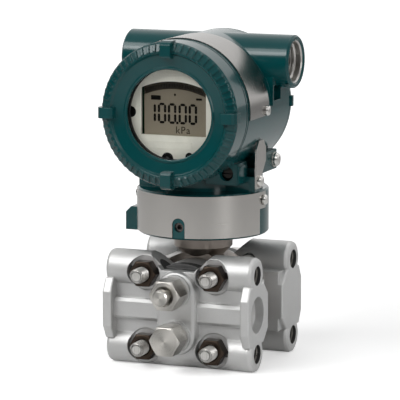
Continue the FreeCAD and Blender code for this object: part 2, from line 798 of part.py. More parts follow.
def capsule():
    """The capsule between the covers, its neck, diaphragms, glass-sealed header and neck seal."""
    disc = cylinder("capsule_disc", ("0", "-cover_inner_plane", "flange_height"), "y",
                    "capsule_radius", "2 * cover_inner_plane")
    neck = turned("capsule_neck", ("0", "0", "0"), "z", [
        ("0", "flange_height"),
        ("cover_inner_plane", "flange_height"),
        ("cover_inner_plane", "neck_start - neck_radius + cover_inner_plane + 0.5"),
        ("neck_radius", "neck_start + 0.5"),
        ("neck_radius", "neck_seal_height - seal_groove_half"),
        ("neck_groove_radius", "neck_seal_height - seal_groove_half"),
        ("neck_groove_radius", "neck_seal_height + seal_groove_half"),
        ("neck_radius", "neck_seal_height + seal_groove_half"),
        ("neck_radius", "neck_top - 0.8"),
        ("neck_radius - 0.8", "neck_top"),
        ("neck_bore_radius", "neck_top"),
        ("neck_bore_radius", "neck_top - neck_bore_depth"),
        ("0", "neck_top - neck_bore_depth"),
    ])
    scallops = [
        cylinder(f"capsule_scallop{index}", (across, "-cover_inner_plane - 1", up), "y",
                 "capsule_scallop", "2 * cover_inner_plane + 2")
        for index, (across, up) in enumerate(STUD_PLACES)
    ]
    recesses = []
    for side, axis, sign in (("front", "-y", "-"), ("rear", "y", "")):
        floor = ("0", f"{sign}(cover_inner_plane - diaphragm_recess)", "flange_height")
        recesses.append(cylinder(f"{side}_diaphragm_recess", floor, axis, "diaphragm_radius + 0.1",
                                 "diaphragm_recess + 1"))
        node(cylinder(f"{side}_diaphragm_disc", floor, axis, "diaphragm_radius", "diaphragm_thickness"),
             f"{side}_diaphragm")
    node(cut("capsule", fused("capsule_mass", [disc, neck]), scallops + recesses), "capsule_body")
    node(torus_ring("neck_ring", ("0", "0", "0"), "z",
                    "neck_groove_radius + o_ring_section / 2 + o_ring_gap / 2",
                    "o_ring_section / 2", "neck_seal_height"), "neck_seal")
    header_base = "(neck_top - neck_bore_depth / 2)"
    pins = [
        cylinder(f"header_pin{index}", (f"neck_bore_radius * 0.6 * cos({index * 60})",
                                        f"neck_bore_radius * 0.6 * sin({index * 60})",
                                        f"{header_base} + header_thickness"), "z", "0.5", "header_thickness")
        for index in range(6)
    ]
    cup = cylinder("header_disc", ("0", "0", header_base), "z",
                   "neck_bore_radius - 0.02", "header_thickness")
    node(fused("header", [cup] + pins), "sensor_header")


# ---------------------------------------------------------------- housing casting

MIDDLE = ("0", "0", "housing_height")


def housing_outside():
    """The painted casting's own mass: drum, conduit, collar, hub, blocks and lugs."""
    pieces = [turned("drum", MIDDLE, "y", [
        ("0", "-housing_front"),
        ("housing_radius", "-housing_front"),
        ("housing_radius", "housing_back"),
        ("0", "housing_back"),
    ])]
    pieces.append(turned("conduit_barrel", ("0", "conduit_offset", "conduit_height"), "x", [
        ("0", "-conduit_half_length"),
        ("conduit_radius - conduit_bevel", "-conduit_half_length"),
        ("conduit_radius", "-conduit_half_length + conduit_bevel"),
        ("conduit_radius", "conduit_half_length - conduit_bevel"),
        ("conduit_radius - conduit_bevel", "conduit_half_length"),
        ("0", "conduit_half_length"),
    ]))
    pieces.append(block(
        "conduit_saddle",
        ("-saddle_half_length", "conduit_offset - saddle_half_width", "saddle_bottom"),
        ("saddle_half_length", "conduit_offset + saddle_half_width", "conduit_height"),
    ))
    pieces.append(turned("collar", ("0", "0", "0"), "z", [
        ("0", "collar_bottom"),
        ("collar_radius - 0.8", "collar_bottom"),
        ("collar_radius", "collar_bottom + 0.8"),
        ("collar_radius", "collar_top - 0.8"),
        ("collar_radius - 0.8", "collar_top"),
        ("throat_radius", "collar_top"),
        ("throat_radius", "housing_height - housing_radius * 0.6"),
        ("0", "housing_height - housing_radius * 0.6"),
    ]))
    pieces.append(block(
        "zero_block",
        ("zero_block_inner", "-zero_block_front", "zero_block_bottom"),
        ("zero_block_outer", "-zero_block_front * 0.35", "housing_height - housing_radius + 10"),
    ))
    pieces.append(block(
        "label_pad",
        ("zero_block_outer - 1", "-zero_block_front + 0.8", "zero_block_bottom + 0.8"),
        ("zero_block_outer + label_pad_thickness", "-zero_block_front * 0.4",
         "zero_screw_height + zero_recess_radius"),
    ))
    pieces.append(block(
        "floor",
        ("-floor_outer", "-zero_block_front * 0.6", "collar_top - 1"),
        ("floor_outer", "floor_back", "floor_top"),
    ))
    pieces.append(block(
        "guard_seat",
        ("zero_block_outer - 1", "-guard_plate_front", "collar_top"),
        ("guard_plate_side", "-guard_plate_front + guard_tab_width", "guard_tab_top"),
    ))
    pieces.append(block(
        "guard_web",
        ("zero_block_outer - 1", "-guard_plate_front + guard_tab_width - 1", "collar_top"),
        ("floor_outer", "floor_back", "ground_lug_bottom + ground_lug_height / 3"),
    ))
    pieces.append(block(
        "ground_lug",
        ("throat_radius - 2", "ground_lug_front", "ground_lug_bottom"),
        ("ground_lug_side", "ground_lug_back", "ground_lug_top"),
    ))
    pieces.append(extruded("collar_lug", ("0", "-lug_front", "0"), "y", [
        ("collar_radius - 3", "lug_bottom"),
        ("lug_outer", "lug_bottom"),
        ("lug_outer", "lug_top - lug_bevel"),
        ("lug_outer - lug_bevel", "lug_top"),
        ("collar_radius - 3", "lug_top"),
    ], "lug_front + lug_back"))
    return fused("housing_outside", pieces)


def housing_hollows():
    """Compartments, threads, socket and recesses of the casting."""
    tools = [
        cylinder("front_room", ("0", "-partition_half", "housing_height"), "-y",
                 "room_radius", "housing_front"),
        cylinder("rear_room", ("0", "partition_half", "housing_height"), "y",
                 "room_radius", "housing_back"),
        cylinder("front_mouth", ("0", "-housing_front + front_thread_depth", "housing_height"), "-y",
                 "mouth_radius", "front_thread_depth + 1"),
        cylinder("rear_mouth", ("0", "housing_back - rear_thread_depth", "housing_height"), "y",
                 "mouth_radius", "rear_thread_depth + 1"),
        cylinder("feedthrough_hole", ("0", "-partition_half - 1", "housing_height + feedthrough_height"), "y",
                 "feedthrough_radius + 0.05", "2 * partition_half + 2"),
        cylinder("neck_socket", ("0", "0", "collar_bottom - 1"), "z",
                 "neck_radius + turning_clearance", "neck_top + 1 - collar_bottom + 1"),
        cylinder("cable_passage", ("0", "-throat_passage_offset", "neck_top"), "z",
                 "throat_passage_radius", "housing_height - neck_top"),
    ]
    for side, start, axis in (("left", "-", "x"), ("right", "", "-x")):
        tools.append(turned(f"{side}_conduit_bore",
                            (f"{start}conduit_half_length", "conduit_offset", "conduit_height"), axis, [
            ("0", "-1"),
            ("conduit_mouth_radius", "-1"),
            ("conduit_mouth_radius", "0"),
            ("conduit_thread_radius", "conduit_mouth_radius - conduit_thread_radius"),
            ("conduit_thread_radius", "conduit_thread_depth + 1"),
            ("conduit_throat_radius", "conduit_thread_depth + 2"),
            ("conduit_throat_radius", "conduit_half_length - conduit_thread_radius"),
            ("0", "conduit_half_length - conduit_thread_radius"),
        ]))
    hollow = turned("collar_hollow", ("0", "0", "0"), "z", [
        ("neck_radius + hub_wall", "collar_bottom - 1"),
        ("collar_radius - collar_wall", "collar_bottom - 1"),
        ("collar_radius - collar_wall", "collar_top - collar_floor - 2"),
        ("collar_radius - collar_wall - 2", "collar_top - collar_floor"),
        ("neck_radius + hub_wall + 2", "collar_top - collar_floor"),
        ("neck_radius + hub_wall", "collar_top - collar_floor - 2"),
    ])
    screw_boss = block(
        "lock_screw_boss",
        ("-collar_arch_width", "-collar_radius - 1", "collar_bottom - 2"),
        ("collar_arch_width", "0", "collar_arch_top + 2"),
    )
    tools.append(cut("collar_hollow_round_boss", hollow, [screw_boss]))
    tools.append(cylinder("lock_screw_hole", ("0", "0", "lock_screw_height"), "-y",
                          "lock_screw_radius + 0.05", "collar_radius + 1"))
    recess_floor = "-zero_block_front + zero_recess_depth"
    tools.append(cylinder("zero_recess", ("zero_screw_across", recess_floor, "zero_screw_height"), "-y",
                          "zero_recess_radius", "zero_recess_depth + 1"))
    tools.append(cylinder("zero_shank_hole",
                          ("zero_screw_across", f"{recess_floor} - 1", "zero_screw_height"), "y",
                          "zero_shank_radius + turning_clearance", "zero_shank_length + 2"))
    pocket_sides = {
        "left": ("-saddle_half_length - 1", "-saddle_half_length + pocket_depth"),
        "right": ("saddle_half_length - pocket_depth", "saddle_half_length + 1"),
    }
    for side, (start, end) in pocket_sides.items():
        tools.append(block(
            f"{side}_saddle_pocket",
            (start, "pocket_front", "pocket_bottom"),
            (end, "pocket_back", "conduit_height - conduit_radius + 2"),
        ))
    return tools


def pan_screw(name, at, axis, scale="1"):
    """A pan head screw, its seat at the place given and its head pointing along the axis."""
    return turned(name + "_turned", at, axis, [
        ("0", f"-pan_shank_length * {scale}"),
        (f"pan_shank_radius * {scale}", f"-pan_shank_length * {scale}"),
        (f"pan_shank_radius * {scale}", "0"),
        (f"pan_head_radius * {scale}", "0"),
        (f"pan_head_radius * {scale}", f"pan_head_height * 0.45 * {scale}"),
        (f"pan_head_radius * 0.85 * {scale}", f"pan_head_height * 0.82 * {scale}"),
        (f"pan_head_radius * 0.5 * {scale}", f"pan_head_height * {scale}"),
        ("0", f"pan_head_height * {scale}"),
    ])


def screw_hole(name, at, axis, scale="1"):
    """The tapped hole under a pan head screw."""
    return cylinder(name, at, axis, f"pan_shank_radius * {scale} + 0.05", f"pan_shank_length * {scale} + 0.5")


OPPOSITE = {"x": "-x", "-x": "x", "y": "-y", "-y": "y", "z": "-z", "-z": "z"}
HOUSING_SCREWS = {
    "tag_right": (
        ("housing_radius + band_gap + band_thickness", "-tag_screw_setback", "tag_screw_place"),
        "x", "1"),
    "tag_left": (
        ("-housing_radius - band_gap - band_thickness", "-tag_screw_setback", "tag_screw_place"),
        "-x", "1"),
    "band_right": (
        ("collar_radius + band_gap + band_thickness", "-pan_head_radius", "band_screw_height"),
        "x", "1"),
    "band_left": (
        ("-collar_radius - band_gap - band_thickness", "-pan_head_radius", "band_screw_height"),
        "-x", "1"),
    "guard": (
        ("guard_plate_side + guard_plate_thickness", "-guard_plate_front + guard_tab_width / 2",
         "guard_screw_height"),
        "x", "1.15"),
    "ground": (
        ("ground_lug_side + ground_washer_height", "ground_screw_setback", "ground_screw_height"),
        "x", "1.35"),
}
BLOCK_SCREW_SEAT = "partition_half + block_depth * 0.4"


def housing():
    """The casting with its bands, plates and outside screws."""
    holes = housing_hollows()
    screws = {}
    for name, (at, axis, scale) in HOUSING_SCREWS.items():
        holes.append(screw_hole(f"{name}_screw_hole", at, OPPOSITE[axis], scale))
        screws[name] = pan_screw(f"{name}_pan_screw", at, axis, scale)
    for index, (across, up) in enumerate(TERMINAL_BLOCK_SCREWS):
        holes.append(screw_hole(f"block_hole{index}", (across, BLOCK_SCREW_SEAT, up), "-y"))
    node(cut("casting", housing_outside(), holes), "housing_casting")
    node(group("tag_screws", [screws["tag_right"], screws["tag_left"]]), "tag_band_screws")
    node(group("band_screws", [screws["band_right"], screws["band_left"]]), "neck_band_screws")
    node(screws["guard"], "guard_plate_screw")
    node(screws["ground"], "ground_screw")
    node(turned("washer", ("ground_lug_side", "ground_screw_setback", "ground_screw_height"), "x", [
        ("pan_shank_radius * 1.35 + 0.1", "0"),
        ("ground_washer_radius", "0"),
        ("ground_washer_radius", "ground_washer_height"),
        ("pan_shank_radius * 1.35 + 0.1", "ground_washer_height"),
    ]), "ground_washer")
    node(turned("grub", ("0", "0", "lock_screw_height"), "-y", [
        ("0", "neck_radius + seat_gap + 0.1"),
        ("lock_screw_radius * 0.6", "neck_radius + seat_gap + 0.1"),
        ("lock_screw_radius", "neck_radius + seat_gap + 1.2"),
        ("lock_screw_radius", "collar_radius - 1.5"),
        ("lock_screw_radius * 0.55", "collar_radius - 1.5"),
        ("lock_screw_radius * 0.55", "collar_radius - 4"),
        ("0", "collar_radius - 4"),
    ]), "neck_lock_screw")
    node(guard_plate(), "guard_plate")
    node(tag_band(), "tag_band")
    node(neck_band(), "neck_band")


def guard_plate():
    """Thin plate beside the zero adjustment, held by a tab at its foot."""
    back = "(-guard_plate_front + guard_plate_width)"
    plate = extruded("guard_sheet", ("guard_plate_side", "0", "0"), "x", [
        ("-guard_plate_front", "guard_plate_bottom"),
        ("-guard_plate_front + guard_tab_width", "guard_plate_bottom"),
        ("-guard_plate_front + guard_tab_width", "guard_tab_top"),
        (back, "guard_tab_top + guard_tab_width"),
        (back, "guard_plate_top - guard_plate_width * 0.3"),
        (f"{back} - guard_plate_width * 0.28", "guard_plate_top"),
        ("-guard_plate_front + guard_plate_width * 0.28", "guard_plate_top"),
        ("-guard_plate_front", "guard_plate_top - guard_plate_width * 0.3"),
    ], "guard_plate_thickness")
    at, axis, scale = HOUSING_SCREWS["guard"]
    return cut("guard_plate_drilled", plate, [screw_hole("guard_plate_hole", at, OPPOSITE[axis], scale)])


def band_sector(name, at, axis, inner, length, sweep, start):
    """Part of a thin tube, from a start angle round its axis."""
    sector = primitive("Cylinder", name, at, axis, start, Radius=f"{inner} + band_thickness", Height=length)
    sizes.bind(sector, "Angle", sweep)
    return sector


def tag_band():
    """Band round the top of the drum, its two ends screwed down at the sides."""
    inner = "(housing_radius + band_gap)"
    start = -sizes.value("tag_band_drop_angle")
    at = ("0", "-tag_band_front", "housing_height")
    sector = band_sector("tag_sheet", at, "y", inner, "tag_band_front - tag_band_back",
                         "180 + 2 * tag_band_drop_angle", start)
    tools = [cylinder("tag_inside", ("0", "-tag_band_front - 1", "housing_height"), "y",
                      inner, "tag_band_front + 2")]
    for side in ("tag_right", "tag_left"):
        at, axis, scale = HOUSING_SCREWS[side]
        tools.append(screw_hole(f"{side}_band_hole", at, OPPOSITE[axis], scale))
    return cut("tag_band_drilled", sector, tools)


def neck_band():
    """Band round the front of the collar, with an arch over the lock screw and two screwed tabs."""
    inner = "(collar_radius + band_gap)"
    low = band_sector("band_sheet", ("0", "0", "band_bottom"), "z", inner, "band_top - band_bottom",
                      "180 - 2 * band_start_angle", 180 + sizes.value("band_start_angle"))
    tabs = band_sector("band_tabs", ("0", "0", "band_tab_bottom"), "z", inner, "band_top - band_tab_bottom",
                       "180 - 2 * band_tab_angle + 4", 180 + sizes.value("band_tab_angle") - 2)
    arch = "collar_arch_width / 2"
    tools = [
        cylinder("band_inside", ("0", "0", "band_bottom - 1"), "z", inner, "band_top - band_bottom + 2"),
        block("arch_sides", (f"-{arch}", "-collar_radius * 1.2", "band_bottom - 1"),
              (arch, "0", f"collar_arch_top - {arch}")),
        cylinder("arch_round", ("0", "0", f"collar_arch_top - {arch}"), "-y", arch, "collar_radius * 1.2"),
    ]
    for side in ("band_right", "band_left"):
        at, axis, scale = HOUSING_SCREWS[side]
        tools.append(screw_hole(f"{side}_band_hole", at, OPPOSITE[axis], scale))
    return cut("neck_band_drilled", fused("band_sheets", [low, tabs]), tools)


# ---------------------------------------------------------------- what the housing holds

TERMINAL_BLOCK_SCREWS = [
    (f"{sign}block_screw_drop", "terminal_top - block_height - 3.5") for sign in ("-", "")
]


def terminals():
    """Terminal block with barriers between its screws, fixed to the partition."""
    base = block("terminal_base", ("-block_half_width", "partition_half", "terminal_top - block_height"),
                 ("block_half_width", "partition_half + block_depth", "terminal_top"))
    ears = [
        cylinder(f"terminal_ear{index}", (across, "partition_half", up), "y", "4", "block_depth * 0.4")
        for index, (across, up) in enumerate(TERMINAL_BLOCK_SCREWS)
    ]
    webs = [
        block(f"terminal_ear_web{index}", (f"{across} - 4", "partition_half", up),
              (f"{across} + 4", "partition_half + block_depth * 0.4", f"{up} + 4.5"))
        for index, (across, up) in enumerate(TERMINAL_BLOCK_SCREWS)
    ]
    count = round(sizes.value("terminal_count"))
    face = "(partition_half + block_depth)"
    middle_height = "(terminal_top - block_height / 2)"
    barriers = []
    holes = []
    screws = []
    for index in range(count + 1):
        across = f"({index - count / 2} * terminal_pitch)"
        barriers.append(block(
            f"terminal_barrier{index}",
            (f"{across} - terminal_rib_width / 2", f"{face} - 1", "terminal_top - block_height"),
            (f"{across} + terminal_rib_width / 2", f"{face} + terminal_rib_rise", "terminal_top")))
    for index in range(count):
        at = (f"{index - (count - 1) / 2} * terminal_pitch", face, middle_height)
        holes.append(screw_hole(f"terminal_hole{index}", at, "-y", "1.1"))
        screws.append(pan_screw(f"terminal_screw{index}", at, "y", "1.1"))
    for index, (across, up) in enumerate(TERMINAL_BLOCK_SCREWS):
        holes.append(screw_hole(f"block_screw_hole{index}", (across, BLOCK_SCREW_SEAT, up), "-y"))
    node(cut("terminal_block_drilled", fused("terminal_mass", [base] + ears + webs + barriers), holes),
         "terminal_block")
    node(group("terminal_screw_set", screws), "terminal_screws")
    node(group("block_screws", [
        pan_screw(f"block_screw{index}", (across, BLOCK_SCREW_SEAT, up), "y")
        for index, (across, up) in enumerate(TERMINAL_BLOCK_SCREWS)
    ]), "terminal_block_screws")
    node(cylinder("feedthrough", ("0", "-feedthrough_length / 2", "housing_height + feedthrough_height"), "y",
                  "feedthrough_radius", "feedthrough_length"), "power_feedthrough")


def electronics():
    """Main board on its posts with a shield, and the indicator stacked in front of it."""
    board_back = "main_board_front"
    board_face = "(main_board_front + board_thickness)"
    front_post_length = f"bezel_front - bezel_skirt_depth - {board_face} - board_gap / 2"
    posts = []
    for index, angle in enumerate((90, 210, 330)):
        across = f"standoff_offset * cos({angle})"
        up = f"housing_height + standoff_offset * sin({angle})"
        posts.append(cylinder(f"rear_post{index}", (across, "-partition_half", up), "-y", "standoff_radius",
                              f"{board_back} - partition_half"))
        posts.append(cylinder(f"front_post{index}", (across, f"-{board_face}", up), "-y",
                              "standoff_radius * 0.8", front_post_length))
    node(group("posts", posts), "board_posts")
    node(cylinder("main_board_disc", ("0", f"-{board_back}", "housing_height"), "-y", "main_board_radius",
                  "board_thickness"), "main_board")
    node(turned("shield", MIDDLE, "-y", [
        ("0", f"{board_back} - shield_height"),
        ("shield_radius", f"{board_back} - shield_height"),
        ("shield_radius", board_back),
        ("shield_radius - shield_wall", board_back),
        ("shield_radius - shield_wall", f"{board_back} - shield_height + shield_wall"),
        ("0", f"{board_back} - shield_height + shield_wall"),
    ]), "board_shield")
    skirt_back = "(bezel_front - bezel_skirt_depth)"
    cup = turned("bezel_cup", MIDDLE, "-y", [
        ("0", "bezel_back"),
        ("bezel_skirt_inside", "bezel_back"),
        ("bezel_skirt_inside", skirt_back),
        ("bezel_skirt_radius", skirt_back),
        ("bezel_skirt_radius", "bezel_back"),
        ("bezel_radius", "bezel_back"),
        ("bezel_radius", "bezel_front - 0.4"),
        ("bezel_radius - 0.4", "bezel_front"),
        ("0", "bezel_front"),
    ])
    arch_rise = "(screen_top - screen_shoulder)"
    arch_radius = f"((screen_half_width ^ 2 + {arch_rise} ^ 2) / 2 / {arch_rise})"
    window_low = block(
        "window_low",
        ("-screen_half_width", "-bezel_front - 1", "housing_height - screen_bottom"),
        ("screen_half_width", "-bezel_back + 0.5", "housing_height + screen_top + 1"),
    )
    window_round = cylinder("window_round", ("0", "-bezel_back + 0.5",
                                             f"housing_height + screen_top - {arch_radius}"), "-y",
                            arch_radius, "bezel_thickness + 2")
    tools = [common("window_opening", [window_low, window_round])]
    screws = []
    for index, angle in enumerate((180, 262, 292)):
        at = (f"bezel_screw_offset * cos({angle})", "-bezel_back - bezel_thickness * 0.3",
              f"housing_height + bezel_screw_offset * sin({angle})")
        tools.append(cylinder(f"bezel_recess{index}", at, "-y",
                              "bezel_screw_radius + 0.35", "bezel_thickness + 1"))
        tools.append(screw_hole(f"bezel_hole{index}", at, "y", "0.55"))
        screws.append(pan_screw(f"bezel_screw{index}", at, "-y", "0.55"))
    node(cut("bezel", cup, tools), "indicator_bezel")
    node(group("bezel_screws", screws), "indicator_screws")
    screen_reach = "screen_half_width + screen_margin"
    screen_disc = cylinder("screen_disc", ("0", "-bezel_back", "housing_height"), "y",
                           "bezel_skirt_inside - 0.3", "screen_thickness")
    screen_block = block(
        "screen_block",
        (f"-{screen_reach}", "-bezel_front", "housing_height - screen_bottom - screen_margin"),
        (screen_reach, "0", "housing_height + screen_top + screen_margin"))
    node(common("screen", [screen_disc, screen_block]), "indicator_screen")
    node(cylinder("indicator_disc", ("0", "-bezel_back + screen_thickness + board_gap",
                                     "housing_height"), "y", "indicator_board_radius", "board_thickness"),
         "indicator_board")
    cable_low = "(neck_top - neck_bore_depth / 2 + 2 * header_thickness + seat_gap)"
    cable_bend = "(housing_height - shield_radius - 2)"
    upright = block(
        "cable_upright",
        ("-cable_width / 2", "-throat_passage_offset - cable_thickness / 2", cable_low),
        ("cable_width / 2", "-throat_passage_offset + cable_thickness / 2", cable_bend),
    )
    level = block(
        "cable_level",
        ("-cable_width / 2", f"-{board_back} + seat_gap", f"{cable_bend} - cable_thickness"),
        ("cable_width / 2", "-throat_passage_offset + cable_thickness / 2", cable_bend),
    )
    node(fused("cable", [upright, level]), "sensor_cable")
    zero_seat = "-zero_block_front + zero_recess_depth - seat_gap"
    screw = turned("zero_turned", ("zero_screw_across", zero_seat, "zero_screw_height"), "-y", [
        ("0", "-zero_shank_length"),
        ("zero_shank_radius", "-zero_shank_length"),
        ("zero_shank_radius", "0"),
        ("zero_head_radius", "0"),
        ("zero_head_radius", "zero_head_length - 0.4"),
        ("zero_head_radius - 0.4", "zero_head_length"),
        ("0", "zero_head_length"),
    ])
    slot = block(
        "zero_slot",
        ("zero_screw_across - zero_head_radius", "-zero_block_front", "zero_screw_height - 0.4"),
        ("zero_screw_across + zero_head_radius", f"{zero_seat} - zero_head_length + 1",
         "zero_screw_height + 0.4"),
    )
    node(cut("zero_slotted", screw, [slot]), "zero_adjust_screw")


# ---------------------------------------------------------------- screwed covers

def cover_seal(name, axis, mouth):
    """O-ring in the groove of a screwed cover's skirt."""
    node(torus_ring(f"{name}_ring", MIDDLE, axis, "skirt_groove_radius + o_ring_section / 2 + o_ring_gap / 2",
                    "o_ring_section / 2", f"{mouth} - seal_groove_setback"), f"{name}_seal")


def skirt_outline(mouth):
    """The outside of a cover's threaded skirt, from its inner end to the cover's rim."""
    groove = f"({mouth} - seal_groove_setback)"
    return [
        ("skirt_inner_radius", f"{mouth} - skirt_overlap"),
        ("skirt_radius - 0.8", f"{mouth} - skirt_overlap"),
        ("skirt_radius", f"{mouth} - skirt_overlap + 0.8"),
        ("skirt_radius", f"{groove} - seal_groove_half"),
        ("skirt_groove_radius", f"{groove} - seal_groove_half"),
        ("skirt_groove_radius", f"{groove} + seal_groove_half"),
        ("skirt_radius", f"{groove} + seal_groove_half"),
    ]


def display_cover():
    """Ribbed ring with four lugs, its window, gasket and retainer."""
    mouth = "housing_front"
    ring = turned("display_ring", MIDDLE, "-y", skirt_outline(mouth) + [
        ("skirt_radius", "display_rim_start"),
        ("cover_rim_radius", "display_rim_start"),
        ("cover_rim_radius", "display_rim_start + 1.4"),
        ("cover_rim_radius - 0.5", "display_rim_start + 1.4"),
        ("cover_rim_radius - 0.5", "display_rim_start + 2.2"),
        ("cover_rim_radius", "display_rim_start + 2.2"),
        ("cover_rim_radius", "display_rim_front"),
        ("cover_rim_radius - 0.8", "display_shoulder"),
        ("display_bevel_radius", "display_bevel_front"),
        ("display_bevel_radius - 1", "display_bevel_front"),
        ("display_face_radius", "display_face_front"),
        ("display_bead_radius", "display_bead_front"),
        ("display_bead_radius - 0.6", "display_bead_front + 0.5"),
        ("window_opening_radius + 0.4", "display_bead_front + 0.3"),
        ("window_opening_radius", "display_bead_front - 0.3"),
        ("window_opening_radius", "window_front"),
        ("window_radius + 0.1", "window_front"),
        ("window_radius + 0.1", "retainer_back"),
        ("skirt_inner_radius", "retainer_back - 0.5"),
    ])
    ribbed(ring, "display_rib", [
        ("display_bevel_radius - 1", "display_shoulder"),
        ("cover_rim_radius - 0.3", "display_rim_front - 1"),
        ("cover_rim_radius - 0.2", "display_rim_front + rib_rise"),
        ("cover_rim_radius - 0.9", "display_shoulder + rib_rise"),
        ("display_bevel_radius + 0.4", "display_bevel_front + rib_rise * 0.7"),
        ("display_bevel_radius - 0.6", "display_bevel_front - 0.1"),
    ], "rib_width", "rib_count")
    ribbed(ring, "display_lug", [
        ("cover_lug_inner", "display_bead_front + 0.2"),
        ("cover_lug_radius", "display_rim_front - 2"),
        ("cover_lug_radius", "display_lug_front - 3"),
        ("cover_lug_radius - 0.8", "display_lug_front - 1"),
        ("cover_lug_radius - 2", "display_lug_front"),
        ("cover_lug_inner + 1.5", "display_lug_front"),
        ("cover_lug_inner + 0.4", "display_lug_front - 0.8"),
    ], "lug_width", "lug_count")
    node(ring, "display_cover_ring")
    cover_seal("display_cover", "-y", mouth)
    node(turned("window_glass", MIDDLE, "-y", [
        ("0", "window_back"),
        ("window_radius", "window_back"),
        ("window_radius", "window_front"),
        ("0", "window_front"),
    ]), "display_window")
    node(turned("window_seal", MIDDLE, "-y", [
        ("window_radius - retainer_width + 0.4", "window_gasket_back"),
        ("window_radius", "window_gasket_back"),
        ("window_radius", "window_back"),
        ("window_radius - retainer_width + 0.4", "window_back"),
    ]), "window_gasket")
    node(turned("window_ring", MIDDLE, "-y", [
        ("window_radius - retainer_width", "retainer_back"),
        ("window_radius", "retainer_back"),
        ("window_radius", "window_gasket_back"),
        ("window_radius - retainer_width", "window_gasket_back"),
    ]), "window_retainer")


def terminal_cover():
    """Blank rear cover with ribs and two lugs."""
    mouth = "housing_back"
    inside = "(terminal_cover_front - terminal_cover_wall)"
    cap = turned("terminal_cap", MIDDLE, "y", skirt_outline(mouth) + [
        ("skirt_radius", "terminal_rim_start"),
        ("cover_rim_radius", "terminal_rim_start"),
        ("cover_rim_radius", "terminal_shoulder"),
        ("cover_rim_radius - 1.6", "terminal_shoulder + 0.6"),
        ("terminal_crown_radius", "terminal_cover_front - 2"),
        ("terminal_crown_radius - 2.5", "terminal_cover_front"),
        ("0", "terminal_cover_front"),
        ("0", inside),
        ("skirt_inner_radius", inside),
    ])
    ribbed(cap, "terminal_rib", [
        ("terminal_crown_radius - 2", "terminal_shoulder - 1"),
        ("cover_rim_radius - 0.4", "terminal_shoulder - 1"),
        ("cover_rim_radius - 0.8", "terminal_shoulder + 1"),
        ("terminal_crown_radius + 0.9", "terminal_cover_front - 2.4"),
        ("terminal_crown_radius - 0.6", "terminal_cover_front - 1"),
        ("terminal_crown_radius - 2", "terminal_cover_front - 1"),
    ], "rib_width", "rib_count")
    ribbed(cap, "terminal_lug", [
        ("cover_lug_inner", "terminal_shoulder - 1"),
        ("cover_lug_radius", "terminal_shoulder - 1"),
        ("cover_lug_radius", "terminal_lug_front - 1.5"),
        ("cover_lug_radius - 1.5", "terminal_lug_front"),
        ("cover_lug_inner", "terminal_lug_front"),
    ], "lug_width", "terminal_lug_count")
    node(cap, "terminal_cover_cap")
    cover_seal("terminal_cover", "y", mouth)


def checked_and_written():
    """Recomputes the document, stops on any failed object, and writes each sub-part."""
    doc.recompute()
    for thing in doc.Objects:
        if "Invalid" in thing.State or "Error" in thing.State:
            raise RuntimeError(f"{thing.Name} could not be built: {thing.State}")
    os.makedirs("parts", exist_ok=True)
    for name, thing in nodes.items():
        shape = thing.Shape
        if shape.isNull() or not shape.isValid() or not shape.Solids:
            raise RuntimeError(f"{name} is not a valid solid")
        shape.exportStep(f"parts/{name}.step")
        print(f"{name}: {len(shape.Solids)} solid(s), {shape.Volume:.1f} mm3")


process_end()
capsule()
housing()
terminals()
electronics()
display_cover()
terminal_cover()
checked_and_written()
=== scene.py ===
"""Looks for a differential pressure transmitter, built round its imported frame.

Each operator makes one group of pieces, the finishes or the stage. Lengths are metres in the
frame's axes: +X is the right-hand side, -Y the display side and +Z up.
"""

import json
import math

import bpy
from bpy.props import (FloatProperty, FloatVectorProperty, IntProperty, PointerProperty,
                       StringProperty)
from mathutils import Matrix, Vector


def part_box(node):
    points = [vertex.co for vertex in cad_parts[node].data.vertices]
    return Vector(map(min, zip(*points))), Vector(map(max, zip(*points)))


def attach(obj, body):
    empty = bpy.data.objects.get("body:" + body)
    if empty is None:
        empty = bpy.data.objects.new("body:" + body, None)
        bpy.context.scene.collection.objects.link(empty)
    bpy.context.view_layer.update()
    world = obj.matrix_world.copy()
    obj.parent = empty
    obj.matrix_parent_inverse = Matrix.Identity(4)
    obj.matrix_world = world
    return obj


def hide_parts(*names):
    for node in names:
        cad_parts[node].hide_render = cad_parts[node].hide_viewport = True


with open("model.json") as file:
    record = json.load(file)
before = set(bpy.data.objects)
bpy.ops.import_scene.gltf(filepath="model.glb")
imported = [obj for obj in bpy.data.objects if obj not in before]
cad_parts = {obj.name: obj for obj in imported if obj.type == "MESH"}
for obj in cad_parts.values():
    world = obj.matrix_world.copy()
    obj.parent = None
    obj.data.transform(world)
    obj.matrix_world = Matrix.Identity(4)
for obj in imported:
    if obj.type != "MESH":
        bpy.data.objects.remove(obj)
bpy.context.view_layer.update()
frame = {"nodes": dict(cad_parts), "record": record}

bl_info = {
    "name": "Pressure Transmitter Looks",
    "version": (1, 0, 0),
    "blender": (4, 5, 0),
    "location": "3D View > Sidebar > Transmitter",
    "description": "Adds threads, studs and the indicator's marks and finishes every piece",
    "category": "Object",
}

NODES = frame["nodes"]
MOUNTS = frame["record"].get("mounts") or []
MM = 0.001
UPRIGHT = Matrix.Rotation(math.pi / 2, 4, "X")  # turns what faces up to face the display side
CREASE = math.radians(35)  # edges that turn more than this stay sharp

# Steps in edit mode that many pieces share
ALL = (bpy.ops.mesh.select_all, {"action": "SELECT"})
OUTWARDS = (bpy.ops.mesh.normals_make_consistent, {"inside": False})

BARE_RADIUS = 11.1 * MM  # the conduit mouths are bare metal inside this radius
BARE_START = 30 * MM  # and from this far out to each side
MILLED_START = 40.85 * MM  # the process covers are milled from this far out to each side
# The flange holes' walls inside this radius get painted shade in the cast finish
HOLE_SHADE_RADIUS = 5.3 * MM  # the flange holes' walls lie inside this radius
ARCH_DROP = 46.9 * MM  # from the screen's top down to the middle of its scale's arch
ARCH_START = 41.7 * MM  # the scale's dark ground starts at this radius


